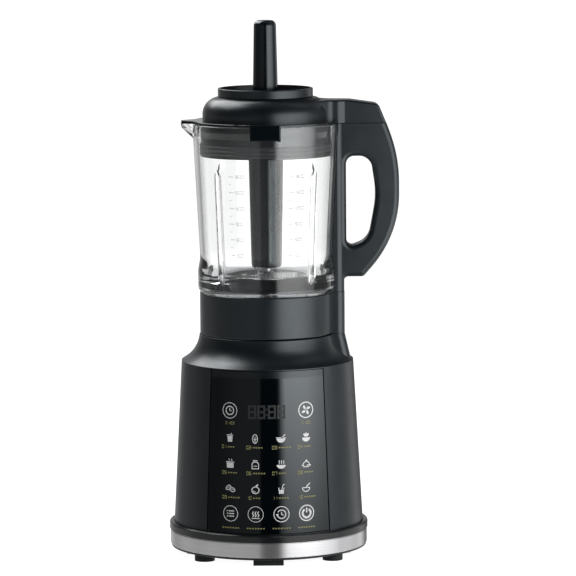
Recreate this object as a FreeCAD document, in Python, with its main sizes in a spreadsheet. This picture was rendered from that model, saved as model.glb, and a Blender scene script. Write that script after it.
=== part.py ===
import FreeCAD, Part
import Sketcher
import math
import os
import re

# A countertop blender that also heats: a motor base with a curved touch panel, a lift-off glass jar
# with a heated floor and blades, a lid with a filler collar, and a tamper standing through the lid.
# Millimetres. The drive axis is Z, the floor is z = 0, the panel faces -Y and the handle is at +X.

doc = FreeCAD.newDocument("heating_blender")
sheet = doc.addObject("Spreadsheet::Sheet", "sizes")

# name, value in millimetres (angles in degrees), what it measures
SIZES = [
    ("foot_height", 6.2, "floor to the base plate"),
    ("foot_radius", 10.0, "round foot"),
    ("foot_inset", 10.9, "round foot centre inside the plate's edge"),
    ("foot_angle", 43.2, "round foot, off the sideways axis"),
    ("stem_radius", 4.0, "foot stem"),
    ("block_width", 30.0, "front block foot"),
    ("block_depth", 10.0, "front block foot"),
    ("block_inset", 5.6, "front block foot inside the plate's edge"),
    ("plate_gap", 0.8, "base plate inside the band face"),
    ("plate_thick", 2.4, "base plate"),
    ("ring_radius", 99.5, "steel band, over its bead"),
    ("ring_height", 22.4, "steel band"),
    ("ring_wall", 1.2, "steel band sheet"),
    ("bead_proud", 0.8, "bead beyond the band face"),
    ("bead_height", 7.4, "bead at the top of the band"),
    ("bead_groove", 0.6, "groove under the bead"),
    ("band_step", 4.0, "housing foot inside the band face"),
    ("shell_height", 184.1, "housing, base plate to shoulder"),
    ("shell_wall", 3.0, "housing wall"),
    ("panel_angle", 80.5, "control panel, round the drive axis"),
    ("panel_thick", 1.6, "control panel"),
    ("panel_play", 1.0, "control panel narrower than its recess, round the drive axis"),
    ("panel_edge", 0.5, "rounding round the control panel"),
    ("panel_sink", 0.2, "panel face below the housing face"),
    ("panel_top", 0.5, "panel below the shoulder"),
    ("board_gap", 5.0, "circuit boards clear of the motor bracket"),
    ("board_side", 6.1, "panel board's edges inside the housing wall"),
    ("board_thick", 1.6, "circuit boards"),
    ("display_width", 38.0, "display module"),
    ("display_depth", 12.0, "display module"),
    ("power_width", 80.0, "power board"),
    ("sink_depth", 14.0, "heat sink fins on the power board"),
    ("inlet_width", 28.0, "power inlet"),
    ("inlet_height", 20.0, "power inlet"),
    ("inlet_depth", 23.0, "power inlet"),
    ("inlet_flange", 4.0, "inlet flange beyond the inlet"),
    ("inlet_wall", 2.0, "inlet round its mouth"),
    ("inlet_rise", 20.4, "inlet above the band"),
    ("inlet_sunk", 1.45, "inlet behind the housing face"),
    ("neck_radius", 67.7, "jar seat, outside"),
    ("shoulder_step", 18.3, "housing top beyond the jar seat"),
    ("shoulder_height", 27.3, "shoulder to the jar seat"),
    ("shoulder_lip", 0.8, "upright edge round the foot of the shoulder"),
    ("flare_reach", 16.4, "knee of the shoulder curve below the jar seat"),
    ("flare_out", 2.3, "knee of the shoulder curve beyond the jar seat"),
    ("seat_width", 5.2, "jar seat"),
    ("well_depth", 18.0, "well under the jar"),
    ("deck_thick", 3.0, "well floor"),
    ("column_proud", 10.4, "connector column beyond the jar collar"),
    ("column_width", 29.0, "connector column"),
    ("column_spread", 6.0, "connector column foot beyond its top"),
    ("boss_step", 5.0, "motor boss centres beyond the stator"),
    ("boss_radius", 5.0, "motor boss"),
    ("bracket_edge", 6.0, "motor bracket beyond the boss centres"),
    ("damper_thick", 6.0, "motor damper"),
    ("bracket_thick", 4.0, "motor bracket plate"),
    ("upper_skirt", 32.0, "upper bracket to the stator"),
    ("lower_skirt", 33.0, "stator to the lower bracket"),
    ("skirt_thick", 7.5, "motor bracket skirts"),
    ("stack_length", 40.0, "stator and armature stacks"),
    ("stack_radius", 46.0, "stator stack"),
    ("stator_bore", 24.0, "stator bore"),
    ("air_gap", 0.6, "stator to armature"),
    ("bolt_inset", 3.75, "through bolts inside the stator's edge"),
    ("upper_journal", 5.0, "upper motor bearing bore"),
    ("upper_bearing_radius", 13.0, "upper motor bearing"),
    ("upper_bearing_height", 8.0, "upper motor bearing"),
    ("lower_journal", 4.0, "lower motor bearing bore"),
    ("lower_bearing_radius", 11.0, "lower motor bearing"),
    ("lower_bearing_height", 7.0, "lower motor bearing"),
    ("shaft_radius", 6.0, "motor shaft through the armature"),
    ("commutator_radius", 12.0, "commutator"),
    ("fan_inset", 6.0, "fan inside the stator's edge"),
    ("fan_height", 16.0, "cooling fan"),
    ("fan_hub", 9.0, "cooling fan hub"),
    ("fan_drop", 13.0, "fan below the lower bracket"),
    ("fan_clear", 18.6, "fan above the base plate"),
    ("clutch_radius", 16.0, "lower clutch cup"),
    ("clutch_height", 13.0, "lower clutch cup"),
    ("spline_root", 8.0, "clutch spline between teeth"),
    ("spline_tip", 12.0, "clutch spline over teeth"),
    ("spline_width", 4.2, "clutch tooth"),
    ("spline_gap", 0.4, "clutch clearance"),
    ("seat_gap", 0.3, "jar above its seat"),
    ("collar_step", 0.7, "jar collar inside the jar seat's edge"),
    ("collar_height", 41.3, "jar collar"),
    ("collar_wall", 2.6, "jar collar wall"),
    ("glass_gap", 0.4, "glass above the jar collar"),
    ("flange_thick", 1.5, "heating plate sheet"),
    ("seal_thick", 2.5, "glass seal"),
    ("floor_rise", 3.0, "heated floor above the glass foot"),
    ("floor_step", 14.2, "heated floor inside the jar collar"),
    ("element_inset", 12.6, "heating element inside the floor's edge"),
    ("element_thick", 3.6, "heating element tube"),
    ("probe_radius", 3.0, "temperature probe"),
    ("blade_bearing_radius", 11.0, "blade bearings"),
    ("blade_bearing_height", 7.0, "blade bearings"),
    ("housing_wall", 3.0, "blade housing"),
    ("glass_height", 168.5, "glass jar"),
    ("glass_foot_height", 34.0, "thick foot of the glass"),
    ("glass_foot_proud", 1.6, "glass foot beyond the jar collar"),
    ("glass_waist_step", 2.2, "glass waist inside its foot"),
    ("glass_flare", 6.2, "glass under its rim beyond its waist"),
    ("glass_wall", 5.2, "glass wall"),
    ("rim_proud", 0.8, "glass rim beyond the wall"),
    ("rim_depth", 6.0, "glass rim"),
    ("spout_proud", 11.4, "spout tip beyond the rim"),
    ("spout_radius", 13.0, "spout in plan"),
    ("spout_depth", 16.0, "spout below the rim"),
    ("rib_depth", 3.5, "inner rib beyond the glass wall"),
    ("rib_width", 7.4, "inner rib"),
    ("rib_height", 124.0, "inner rib above the floor"),
    ("handle_width", 29.0, "handle, front to back"),
    ("handle_depth", 52.8, "grip beyond the handle pillar"),
    ("handle_edge", 5.0, "rounding along the handle"),
    ("grip_inset", 2.0, "grip's faces inside the pillar's"),
    ("pillar_proud", 6.3, "handle pillar beyond the glass rim"),
    ("switch_length", 18.0, "lid switch bay in the handle"),
    ("switch_depth", 12.0, "lid switch bay in the handle"),
    ("switch_set", 12.1, "lid switch bay beyond the handle pillar"),
    ("skirt_gap", 1.64, "lid skirt inside the glass"),
    ("skirt_depth", 32.0, "lid skirt below the rim"),
    ("lug_width", 30.4, "lug on the lid flange, in front of the glass"),
    ("lug_drop", 12.9, "lug's foot below the glass rim"),
    ("lug_gap", 0.4, "lug clear of the glass rim"),
    ("lug_thick", 3.0, "lug"),
    ("lug_edge", 1.2, "rounding round the lug's face"),
    ("flange_height", 2.6, "lid flange over the glass rim"),
    ("flange_inset", 0.3, "lid flange inside the glass rim"),
    ("beak_root", 22.0, "spout cover's root inside the glass rim"),
    ("beak_spread", 21.0, "spout cover's root beyond the spout's sides"),
    ("beak_inset", 0.8, "spout cover inside the spout tip"),
    ("lid_step", 10.6, "lid inside the glass rim"),
    ("lid_height", 26.0, "lid above the glass rim"),
    ("lid_wall", 2.5, "lid"),
    ("dome_radius", 17.0, "lid shoulder"),
    ("tongue_drop", 3.2, "tongue below the top of the lid"),
    ("tongue_edge", 2.0, "rounding along the tongue"),
    ("tongue_spread", 16.0, "tongue's root beyond its sides"),
    ("tongue_fall", 4.2, "tongue's end below its top"),
    ("tongue_nose", 9.0, "rounding of the tongue's end"),
    ("magnet_radius", 4.0, "lid magnet"),
    ("feed_step", 15.5, "filler collar inside the lid's edge"),
    ("feed_height", 8.6, "filler collar above the lid"),
    ("feed_hole", 26.0, "filler hole"),
    ("tamper_gap", 7.6, "tamper inside the filler hole"),
    ("tamper_taper", 3.2, "tamper foot inside its root"),
    ("tamper_disc_gap", 3.7, "splash disc inside the filler collar"),
    ("tamper_disc_thick", 2.8, "splash disc"),
    ("tamper_grip_radius", 12.5, "tamper grip at the disc"),
    ("tamper_top_radius", 11.0, "tamper grip end"),
    ("tamper_grip_length", 72.6, "tamper grip above the disc"),
    ("tamper_clear", 2.6, "tamper foot above the blade nut"),
    ("blade_reach", 36.0, "blade tip radius"),
    ("blade_thick", 1.5, "blade sheet"),
    ("blade_clear", 4.2, "lower blade above the heated floor"),
    ("blade_shaft_radius", 4.0, "blade bearing bore"),
    ("blade_nut_height", 6.0, "blade nut"),
    ("press_gap", 0.02, "bearings in their seats"),
    ("running_gap", 0.05, "shafts in their bearings"),
    ("hug_gap", 0.3, "handle clear of the glass"),
]

# Levels and radii worked out from the sizes above.
DERIVED = {
    "ring_face": "ring_radius - bead_proud",
    "skirt_face": "ring_face - ring_wall - 0.2",
    "plate_radius": "ring_face - plate_gap",
    "foot_x": "(plate_radius - foot_inset) * cos(foot_angle)",
    "foot_y": "(plate_radius - foot_inset) * sin(foot_angle)",
    "shell_foot_radius": "ring_face - band_step",
    "shell_top_radius": "neck_radius + shoulder_step",
    "panel_recess": "panel_thick + panel_sink",
    "boss_circle": "stack_radius + boss_step",
    "bolt_circle": "stack_radius - bolt_inset",
    "board_reach": "boss_circle + bracket_edge + board_gap",
    "fan_radius": "stack_radius - fan_inset",
    "flare_run": "shoulder_step - flare_out",
    "flare_rise": "shoulder_height - flare_reach - shoulder_lip",
    "flare_turn": "atan(flare_run / flare_rise) - atan(flare_out / flare_reach)",
    "flare_arm": "min(sqrt(flare_run^2 + flare_rise^2); sqrt(flare_out^2 + flare_reach^2))",
    "flare_radius": "0.9 * flare_arm / tan(flare_turn / 2)",
    "well_radius": "neck_radius - seat_width",
    "collar_radius": "neck_radius - collar_step",
    "column_reach": "collar_radius + column_proud",
    "floor_radius": "collar_radius - floor_step",
    "element_radius": "floor_radius - element_inset",
    "housing_radius": "blade_bearing_radius + housing_wall",
    "floor_hole": "housing_radius + 0.3",
    "glass_foot_radius": "collar_radius + glass_foot_proud",
    "glass_waist_radius": "glass_foot_radius - glass_waist_step",
    "glass_top_radius": "glass_waist_radius + glass_flare",
    "glass_slope": "glass_flare / (glass_height - glass_foot_height - rim_depth - 6)",
    "rim_radius": "glass_top_radius + rim_proud",
    "spout_reach": "rim_radius + spout_proud",
    "pillar_reach": "rim_radius + pillar_proud",
    "handle_reach": "pillar_reach + handle_depth",
    "switch_x": "pillar_reach + switch_set",
    "skirt_climb": "(glass_height - skirt_depth - glass_foot_height) * glass_slope",
    "skirt_radius": "glass_waist_radius + skirt_climb - glass_wall - skirt_gap",
    "lug_face": "rim_radius + lug_gap + lug_thick",
    "lid_radius": "rim_radius - lid_step",
    "feed_radius": "lid_radius - feed_step",
    "tamper_root_radius": "feed_hole - tamper_gap",
    "tamper_tip_radius": "tamper_root_radius - tamper_taper",
    "tamper_disc_radius": "feed_radius - tamper_disc_gap",
    "z_shell": "foot_height + plate_thick",
    "z_ring": "z_shell + ring_height",
    "inlet_z": "z_ring + inlet_rise",
    "z_fan": "z_shell + fan_clear",
    "z_fan_top": "z_fan + fan_height",
    "z_low": "z_fan_top + fan_drop",
    "z_low_top": "z_low + bracket_thick",
    "z_stack": "z_low_top + lower_skirt",
    "z_stack_top": "z_stack + stack_length",
    "z_arm": "z_stack_top + upper_skirt",
    "z_arm_top": "z_arm + bracket_thick",
    "z_boss": "z_arm_top + damper_thick",
    "z_shoulder": "z_shell + shell_height",
    "z_seat": "z_shoulder + shoulder_height",
    "z_well": "z_seat - well_depth",
    "z_deck": "z_well - deck_thick",
    "boss_length": "z_deck - (z_boss)",
    "z_clutch": "z_well + 1.5",
    "z_socket": "z_clutch + 4",
    "z_clutch_top": "z_clutch + clutch_height",
    "z_jar": "z_seat + seat_gap",
    "z_cover": "z_jar + 3.7",
    "z_cover_top": "z_cover + 2.5",
    "z_collar": "z_jar + collar_height",
    "z_glass": "z_collar + glass_gap",
    "z_ledge": "z_glass - seal_thick - flange_thick",
    "z_floor": "z_glass + floor_rise",
    "z_floor_under": "z_floor - flange_thick",
    "z_rim": "z_glass + glass_height",
    "z_handle": "z_collar + 0.5",
    "z_handle_top": "z_rim - 0.9",
    "z_flange": "z_rim + 0.2",
    "z_lid": "z_flange + flange_height",
    "z_lid_top": "z_rim + lid_height",
    "z_feed_top": "z_lid_top + feed_height",
    "z_disc": "z_lid_top + 0.5",
    "z_disc_top": "z_disc + tamper_disc_thick",
    "z_hub": "z_floor + blade_clear",
    "z_nut": "z_hub + 2 * blade_thick",
    "z_nut_top": "z_nut + blade_nut_height",
    "z_tamper": "z_nut_top + tamper_clear",
}


def bind(text):
    """The expression with derived names written out and every size read from the sheet."""
    text = str(text)
    while True:
        wide = re.sub(r"\b[a-z]\w*\b", lambda m: f"({DERIVED[m[0]]})" if m[0] in DERIVED else m[0], text)
        if wide == text:
            break
        text = wide
    return re.sub(r"\b[a-z]\w*\b", lambda m: f"sizes.{m[0]}" if m[0] in NAMES else m[0], text)


def number(text):
    """The present value of an expression in the sizes."""
    return float(sheet.evalExpression(bind(text)))


def drive(thing, prop, text):
    """Bind a property to an expression in the sizes."""
    thing.setExpression(prop, bind(text))


NAMES = {name for name, _, _ in SIZES}
for row, (name, size, note) in enumerate(SIZES, 1):
    sheet.set(f"A{row}", name)
    sheet.set(f"B{row}", str(size))
    sheet.setAlias(f"B{row}", name)
    sheet.set(f"C{row}", note)
doc.recompute()

SUBPARTS = []


def keep(thing, label):
    """Name a finished sub-part; its label names its file."""
    thing.Label = label
    SUBPARTS.append(thing)
    return thing


def body_for(label):
    body = doc.addObject("PartDesign::Body", f"{label}_body")
    body.AllowCompound = True
    return keep(body, label)


def sketch_in(body, role, lift=None, turn=None):
    """An empty sketch on one of the body's own planes, lifted off it or turned about its vertical."""
    sketch = body.newObject("Sketcher::SketchObject", f"{body.Name}_sketch")
    plane = next(f for f in body.Origin.OriginFeatures if f.Role == role)
    sketch.AttachmentSupport = (plane, [""])
    sketch.MapMode = "FlatFace"
    if turn is not None:
        spin = FreeCAD.Rotation(FreeCAD.Vector(0, 1, 0), turn)
        sketch.AttachmentOffset = FreeCAD.Placement(FreeCAD.Vector(), spin)
    if lift is not None:
        drive(sketch, "AttachmentOffset.Base.z", lift)
    return sketch


def fix_point(sketch, geometry, end, x, y):
    """Hold one point of a sketch at a pair of expressions."""
    for kind, text, axis in (("DistanceX", x, -2), ("DistanceY", y, -1)):
        if text == "0":
            sketch.addConstraint(Sketcher.Constraint("PointOnObject", geometry, end, axis))
            continue
        rule = Sketcher.Constraint(kind, -1, 1, geometry, end, number(text))
        index = sketch.addConstraint(rule)
        drive(sketch, f"Constraints[{index}]", text)


def outline(sketch, corners):
    """A closed outline. Each corner is (x, y) or (x, y, rounding), all of them expressions."""
    spots = [FreeCAD.Vector(number(c[0]), number(c[1]), 0) for c in corners]
    count = len(spots)
    ends = []
    for i, spot in enumerate(spots):
        if len(corners[i]) == 2:
            ends.append((spot, spot, None))
            continue
        back = (spots[i - 1] - spot).normalize()
        ahead = (spots[(i + 1) % count] - spot).normalize()
        half = back.getAngle(ahead) / 2
        radius = number(corners[i][2])
        reach = radius / math.tan(half)
        middle = spot + (back + ahead).normalize() * (radius / math.sin(half))
        mid = middle + (spot - middle).normalize() * radius
        ends.append((spot + back * reach, spot + ahead * reach, mid))
    lines = []
    for i in range(count):
        line = Part.LineSegment(ends[i][1], ends[(i + 1) % count][0])
        lines.append(sketch.addGeometry(line))
    for i, corner in enumerate(corners):
        before, after = lines[i - 1], lines[i]
        if len(corner) == 2:
            sketch.addConstraint(Sketcher.Constraint("Coincident", before, 2, after, 1))
            fix_point(sketch, after, 1, corner[0], corner[1])
            continue
        start, finish, mid = ends[i]
        left_turn = (mid - start).cross(finish - start).z > 0
        near = 1 if left_turn else 2
        bend = Part.Arc(start, mid, finish) if left_turn else Part.Arc(finish, mid, start)
        arc = sketch.addGeometry(bend)
        knee = sketch.addGeometry(Part.Point(spots[i]), True)
        sketch.addConstraint(Sketcher.Constraint("Tangent", before, 2, arc, near))
        sketch.addConstraint(Sketcher.Constraint("Tangent", after, 1, arc, 3 - near))
        sketch.addConstraint(Sketcher.Constraint("PointOnObject", knee, 1, before))
        sketch.addConstraint(Sketcher.Constraint("PointOnObject", knee, 1, after))
        fix_point(sketch, knee, 1, corner[0], corner[1])
        index = sketch.addConstraint(Sketcher.Constraint("Radius", arc, number(corner[2])))
        drive(sketch, f"Constraints[{index}]", corner[2])
    return sketch


def rectangle(sketch, x0, x1, y0, y1):
    return outline(sketch, [(x0, y0), (x1, y0), (x1, y1), (x0, y1)])


def circle(sketch, x, y, radius):
    centre = FreeCAD.Vector(number(x), number(y), 0)
    index = sketch.addGeometry(Part.Circle(centre, FreeCAD.Vector(0, 0, 1), number(radius)))
    fix_point(sketch, index, 3, x, y)
    rule = sketch.addConstraint(Sketcher.Constraint("Radius", index, number(radius)))
    drive(sketch, f"Constraints[{rule}]", radius)
    return sketch


def feature(body, kind, sketch):
    made = body.newObject(f"PartDesign::{kind}", f"{body.Name}_{kind}")
    made.Profile = sketch
    return made


def turned(body, corners, kind="Revolution", role="XZ_Plane", angle=None):
    """Turn an outline about the drive axis: the whole way, or an angle centred on the outline."""
    made = feature(body, kind, outline(sketch_in(body, role), corners))
    made.ReferenceAxis = (made.Profile[0], ["V_Axis"])
    made.Angle = 360.0
    if angle is not None:
        made.Midplane = True
        drive(made, "Angle", angle)
    return made


def pushed(body, sketch, length, kind="Pad", both=False, back=False):
    """Pad or pocket a sketch by a length, along its normal, against it, or half each way."""
    made = feature(body, kind, sketch)
    drive(made, "Length", length)
    if both:
        made.SideType = "Symmetric"
    made.Reversed = back
    return made


def patterned(body, made, count):
    """Repeat a feature round the drive axis."""
    ring = body.newObject("PartDesign::PolarPattern", f"{body.Name}_pattern")
    ring.Originals = [made]
    axis = next(f for f in body.Origin.OriginFeatures if f.Role == "Z_Axis")
    ring.Axis = (axis, [""])
    ring.Angle = 360.0
    ring.Occurrences = count
    body.Tip = ring
    return ring


def rounded(body, test, radius):
    """Round the edges of the body so far that pass a test."""
    doc.recompute()
    base = body.Tip
    names = [f"Edge{i}" for i, edge in enumerate(base.Shape.Edges, 1) if test(edge)]
    made = body.newObject("PartDesign::Fillet", f"{body.Name}_round")
    made.Base = (base, names)
    drive(made, "Radius", radius)
    return made


def turned_part(label, corners):
    body = body_for(label)
    turned(body, corners)
    return body


def ring_part(label, inner, outer, low, high):
    return turned_part(label, [(inner, low), (outer, low), (outer, high), (inner, high)])


def place(thing, x, y, z):
    for axis, text in zip("xyz", (x, y, z)):
        drive(thing, f"Placement.Base.{axis}", text)
    return thing


def rod(radius, low, high, x="0", y="0"):
    """A plain upright cylinder between two levels."""
    made = doc.addObject("Part::Cylinder", "rod")
    drive(made, "Radius", radius)
    drive(made, "Height", f"({high}) - ({low})")
    return place(made, x, y, low)


def block(x0, x1, y0, y1, z0, z1):
    """A plain box between two corners."""
    made = doc.addObject("Part::Box", "block")
    for prop, low, high in (("Length", x0, x1), ("Width", y0, y1), ("Height", z0, z1)):
        drive(made, prop, f"({high}) - ({low})")
    return place(made, x0, y0, z0)


def fused(pieces):
    made = doc.addObject("Part::MultiFuse", "fused")
    made.Shapes = pieces
    made.Refine = True
    return made


def less(base, tool):
    made = doc.addObject("Part::Cut", "less")
    made.Base = base
    made.Tool = tool
    return made


def gathered(label, pieces):
    made = doc.addObject("Part::Compound", "gathered")
    made.Links = pieces
    return keep(made, label)


def screw(head, shank, under, length, x, y, head_height="2"):
    """A screw driven upwards: the head hangs below the level it clamps."""
    cap = rod(head, f"{under} - ({head_height})", under, x, y)
    return fused([cap, rod(shank, under, f"{under} + {length}", x, y)])


def wall(z, inset="0"):
    """Radius of the tapering housing at a level, less an inset."""
    slope = "(shell_foot_radius - shell_top_radius) / (z_shoulder - z_ring)"
    return f"shell_foot_radius - (({z}) - z_ring) * {slope} - ({inset})"


def chord(radius, side):
    """How far out a circle of a radius lies at a distance to the side."""
    return f"sqrt(({radius})^2 - ({side})^2)"


QUARTERS = [("1", "0"), ("0", "1"), ("-1", "0"), ("0", "-1")]
DIAGONALS = [(f"{sx} * 0.70711", f"{sy} * 0.70711") for sx in (1, -1) for sy in (1, -1)]
THIRDS = [("0.86603", "0.5"), ("-0.86603", "0.5"), ("0", "-1")]
REAR_THIRDS = [("0.86603", "-0.5"), ("-0.86603", "-0.5"), ("0", "1")]


def ringed(circle_radius, directions):
    """Centres on a circle, as pairs of expressions."""
    return [tuple("0" if d == "0" else f"({circle_radius}) * ({d})" for d in pair) for pair in directions]


# Feet, base plate and the steel band round the foot of the housing.

FOOT_SPOTS = [(f"{sx} * foot_x", f"{sy} * foot_y") for sx in (1, -1) for sy in (1, -1)]
BASE_SCREW_SPOTS = ringed("skirt_face - 7", REAR_THIRDS)


def foot(x, y):
    """A rubber pad with a stem pressed through the base plate."""
    pad = rod("foot_radius", "0", "foot_height", x, y)
    stem = rod("stem_radius", "foot_height", "z_shell + 2", x, y)
    barb = rod("stem_radius + 0.6", "z_shell", "z_shell + 2", x, y)
    return fused([pad, stem, barb])


gathered("round_feet", [foot(x, y) for x, y in FOOT_SPOTS])

front_foot = body_for("front_foot")
BLOCK_EDGE = "block_inset - (plate_radius)"
pushed(
    front_foot,
    rectangle(
        sketch_in(front_foot, "XY_Plane"),
        "-block_width / 2",
        "block_width / 2",
        BLOCK_EDGE,
        f"{BLOCK_EDGE} + block_depth",
    ),
    "foot_height",
)
rounded(front_foot, lambda e: abs(e.BoundBox.ZMax) < 1e-6, "0.8")

base_plate = body_for("base_plate")
turned(
    base_plate,
    [
        ("0", "foot_height"),
        ("plate_radius", "foot_height", "0.8"),
        ("plate_radius", "z_shell"),
        ("0", "z_shell"),
    ],
)
vent = pushed(
    base_plate,
    rectangle(
        sketch_in(base_plate, "XY_Plane", "foot_height - 1"),
        "fan_hub + 7",
        "fan_radius - 2",
        "-1.6",
        "1.6",
    ),
    "plate_thick + 2",
    "Pocket",
    back=True,
)
patterned(base_plate, vent, 20)
plate_holes = sketch_in(base_plate, "XY_Plane", "foot_height - 1")
for x, y in FOOT_SPOTS:
    circle(plate_holes, x, y, "stem_radius + 0.05")
for x, y in BASE_SCREW_SPOTS:
    circle(plate_holes, x, y, "1.7")
pushed(base_plate, plate_holes, "plate_thick + 2", "Pocket", back=True)

gathered(
    "base_screws",
    [screw("3.2", "1.4", "foot_height", "plate_thick + 13", x, y) for x, y in BASE_SCREW_SPOTS],
)

turned_part(
    "trim_ring",
    [
        ("ring_face - ring_wall", "z_shell"),
        ("ring_face", "z_shell", "0.5"),
        ("ring_face", "z_ring - bead_height - 1.6 * bead_groove"),
        ("ring_face - bead_groove", "z_ring - bead_height - 1.2 * bead_groove"),
        ("ring_face - bead_groove", "z_ring - bead_height"),
        ("ring_radius", "z_ring - bead_height", "0.6"),
        ("ring_radius", "z_ring", "1.5"),
        ("shell_foot_radius + 0.3", "z_ring"),
        ("shell_foot_radius + 0.3", "z_ring - ring_wall"),
        ("ring_face - ring_wall", "z_ring - ring_wall"),
    ],
)

# Tapered housing, cut at the front for the panel and at the back for the power inlet.

WINDOW_LOW, WINDOW_HIGH = "z_ring + 8", "z_shoulder - 12"
PANEL_LOW, PANEL_HIGH = "z_ring + 0.5", "z_shoulder - panel_top"
RECESS_HIGH = "z_shoulder + 1"

base_shell = body_for("base_shell")
turned(
    base_shell,
    [
        ("skirt_face - shell_wall", "z_shell"),
        ("skirt_face", "z_shell"),
        ("skirt_face", "z_ring - ring_wall - 0.2"),
        ("shell_foot_radius", "z_ring - ring_wall - 0.2"),
        ("shell_foot_radius", "z_ring"),
        ("shell_top_radius", "z_shoulder"),
        ("shell_top_radius - shell_wall", "z_shoulder"),
        ("shell_foot_radius - shell_wall", "z_ring"),
        ("skirt_face - shell_wall", "z_ring - ring_wall - 3.2"),
    ],
)


def rail(side, near, low, high):
    """An upright rib inside the housing that carries the edge of a circuit board."""
    sign = "-" if near.startswith("-") else ""
    far_low = f"{sign}({chord(wall(low, 'shell_wall / 2'), side)})"
    far_high = f"{sign}({chord(wall(high, 'shell_wall / 2'), side)})"
    edges = [(near, low), (far_low, low), (far_high, high), (near, high)]
    for sx in ("", "-"):
        rib = outline(sketch_in(base_shell, "YZ_Plane", f"{sx}({side})"), edges)
        pushed(base_shell, rib, "3", both=True)


BOARD_LOW, BOARD_HIGH = "z_ring + 22", "z_shoulder - 20"
BOARD_HALF = f"({chord(wall(BOARD_HIGH, 'shell_wall'), 'board_reach')} - board_side)"
POWER_LOW, POWER_HIGH = "z_ring + 48", "z_shoulder - 48"
rail(f"{BOARD_HALF} - 3", "-(board_reach)", f"{BOARD_LOW} - 2", f"{BOARD_HIGH} + 2")
rail("power_width / 2 - 3", "board_reach - 2", f"{POWER_LOW} + 2", f"{POWER_HIGH} - 2")
turned(
    base_shell,
    [
        (f"-({wall(PANEL_LOW, 'panel_recess')})", PANEL_LOW),
        (f"-({wall(RECESS_HIGH, 'panel_recess')})", RECESS_HIGH),
        ("-(shell_foot_radius + 6)", RECESS_HIGH),
        ("-(shell_foot_radius + 6)", PANEL_LOW),
    ],
    "Groove",
    "YZ_Plane",
    "panel_angle",
)
turned(
    base_shell,
    [
        ("-(board_reach + display_depth + 1)", WINDOW_LOW),
        ("-(shell_foot_radius + 6)", WINDOW_LOW),
        ("-(shell_foot_radius + 6)", WINDOW_HIGH),
        ("-(board_reach + display_depth + 1)", WINDOW_HIGH),
    ],
    "Groove",
    "YZ_Plane",
    f"2 * asin(({BOARD_HALF} - 7) / shell_foot_radius)",
)
screw_posts = sketch_in(base_shell, "XY_Plane", "z_shell")
for x, y in BASE_SCREW_SPOTS:
    circle(screw_posts, x, y, "5")
pushed(base_shell, screw_posts, "18")
pilot_holes = sketch_in(base_shell, "XY_Plane", "z_shell")
for x, y in BASE_SCREW_SPOTS:
    circle(pilot_holes, x, y, "1.5")
pushed(base_shell, pilot_holes, "15", "Pocket", back=True)
INLET_FACE = f"({wall('inlet_z', 'inlet_sunk')})"
inlet_hole = sketch_in(base_shell, "XZ_Plane", f"inlet_depth - 2 - {INLET_FACE}")
rectangle(
    inlet_hole,
    "-inlet_width / 2 - 0.2",
    "inlet_width / 2 + 0.2",
    "inlet_z - inlet_height / 2 - 0.2",
    "inlet_z + inlet_height / 2 + 0.2",
)
pushed(base_shell, inlet_hole, "inlet_depth + 17", "Pocket")

control_panel = body_for("control_panel")
turned(
    control_panel,
    [
        (f"-({wall(PANEL_LOW + ' + 0.3', 'panel_recess')})", f"{PANEL_LOW} + 0.3"),
        (f"-({wall(PANEL_LOW + ' + 0.3', 'panel_recess - panel_thick')})", f"{PANEL_LOW} + 0.3"),
        (f"-({wall(PANEL_HIGH, 'panel_recess - panel_thick')})", PANEL_HIGH),
        (f"-({wall(PANEL_HIGH, 'panel_recess')})", PANEL_HIGH),
    ],
    role="YZ_Plane",
    angle="panel_angle - panel_play",
)


def on_panel_face(edge):
    """Edges round the outer face of the control panel."""
    spot = edge.valueAt((edge.FirstParameter + edge.LastParameter) / 2)
    face = number(wall(f"{spot.z}", "panel_sink + 0.1"))
    return math.hypot(spot.x, spot.y) > face


rounded(control_panel, on_panel_face, "panel_edge")

keep(
    block(
        f"-{BOARD_HALF}",
        BOARD_HALF,
        "-(board_reach)",
        "board_thick - (board_reach)",
        BOARD_LOW,
        BOARD_HIGH,
    ),
    "panel_board",
)
keep(
    block(
        "-display_width / 2",
        "display_width / 2",
        "-(board_reach + display_depth)",
        "-(board_reach)",
        "z_shoulder - 48",
        "z_shoulder - 32",
    ),
    "display_module",
)

# Shoulder, well and connector column.

shoulder = body_for("shoulder_cover")
SPIGOT = "shell_top_radius - shell_wall - 0.3"
turned(
    shoulder,
    [
        ("9", "z_deck"),
        ("shell_top_radius - 11", "z_deck"),
        (f"{SPIGOT} - 3", "z_shoulder"),
        (f"{SPIGOT} - 3", "z_shoulder - 6"),
        (SPIGOT, "z_shoulder - 6"),
        (SPIGOT, "z_shoulder"),
        ("shell_top_radius", "z_shoulder"),
        ("shell_top_radius", "z_shoulder + shoulder_lip", "0.4"),
        ("neck_radius + flare_out", "z_seat - flare_reach", "flare_radius"),
        ("neck_radius", "z_seat", "0.8"),
        ("9", "z_seat"),
    ],
)


def column_plan(body, level, reach, width, inner):
    """Rounded plan of the connector column at a level."""
    half = f"({width}) / 2"
    sketch = sketch_in(body, "XY_Plane", level)
    corners = [(inner, f"-{half}"), (reach, f"-{half}", "7"), (reach, half, "7"), (inner, half)]
    return outline(sketch, corners)


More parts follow.
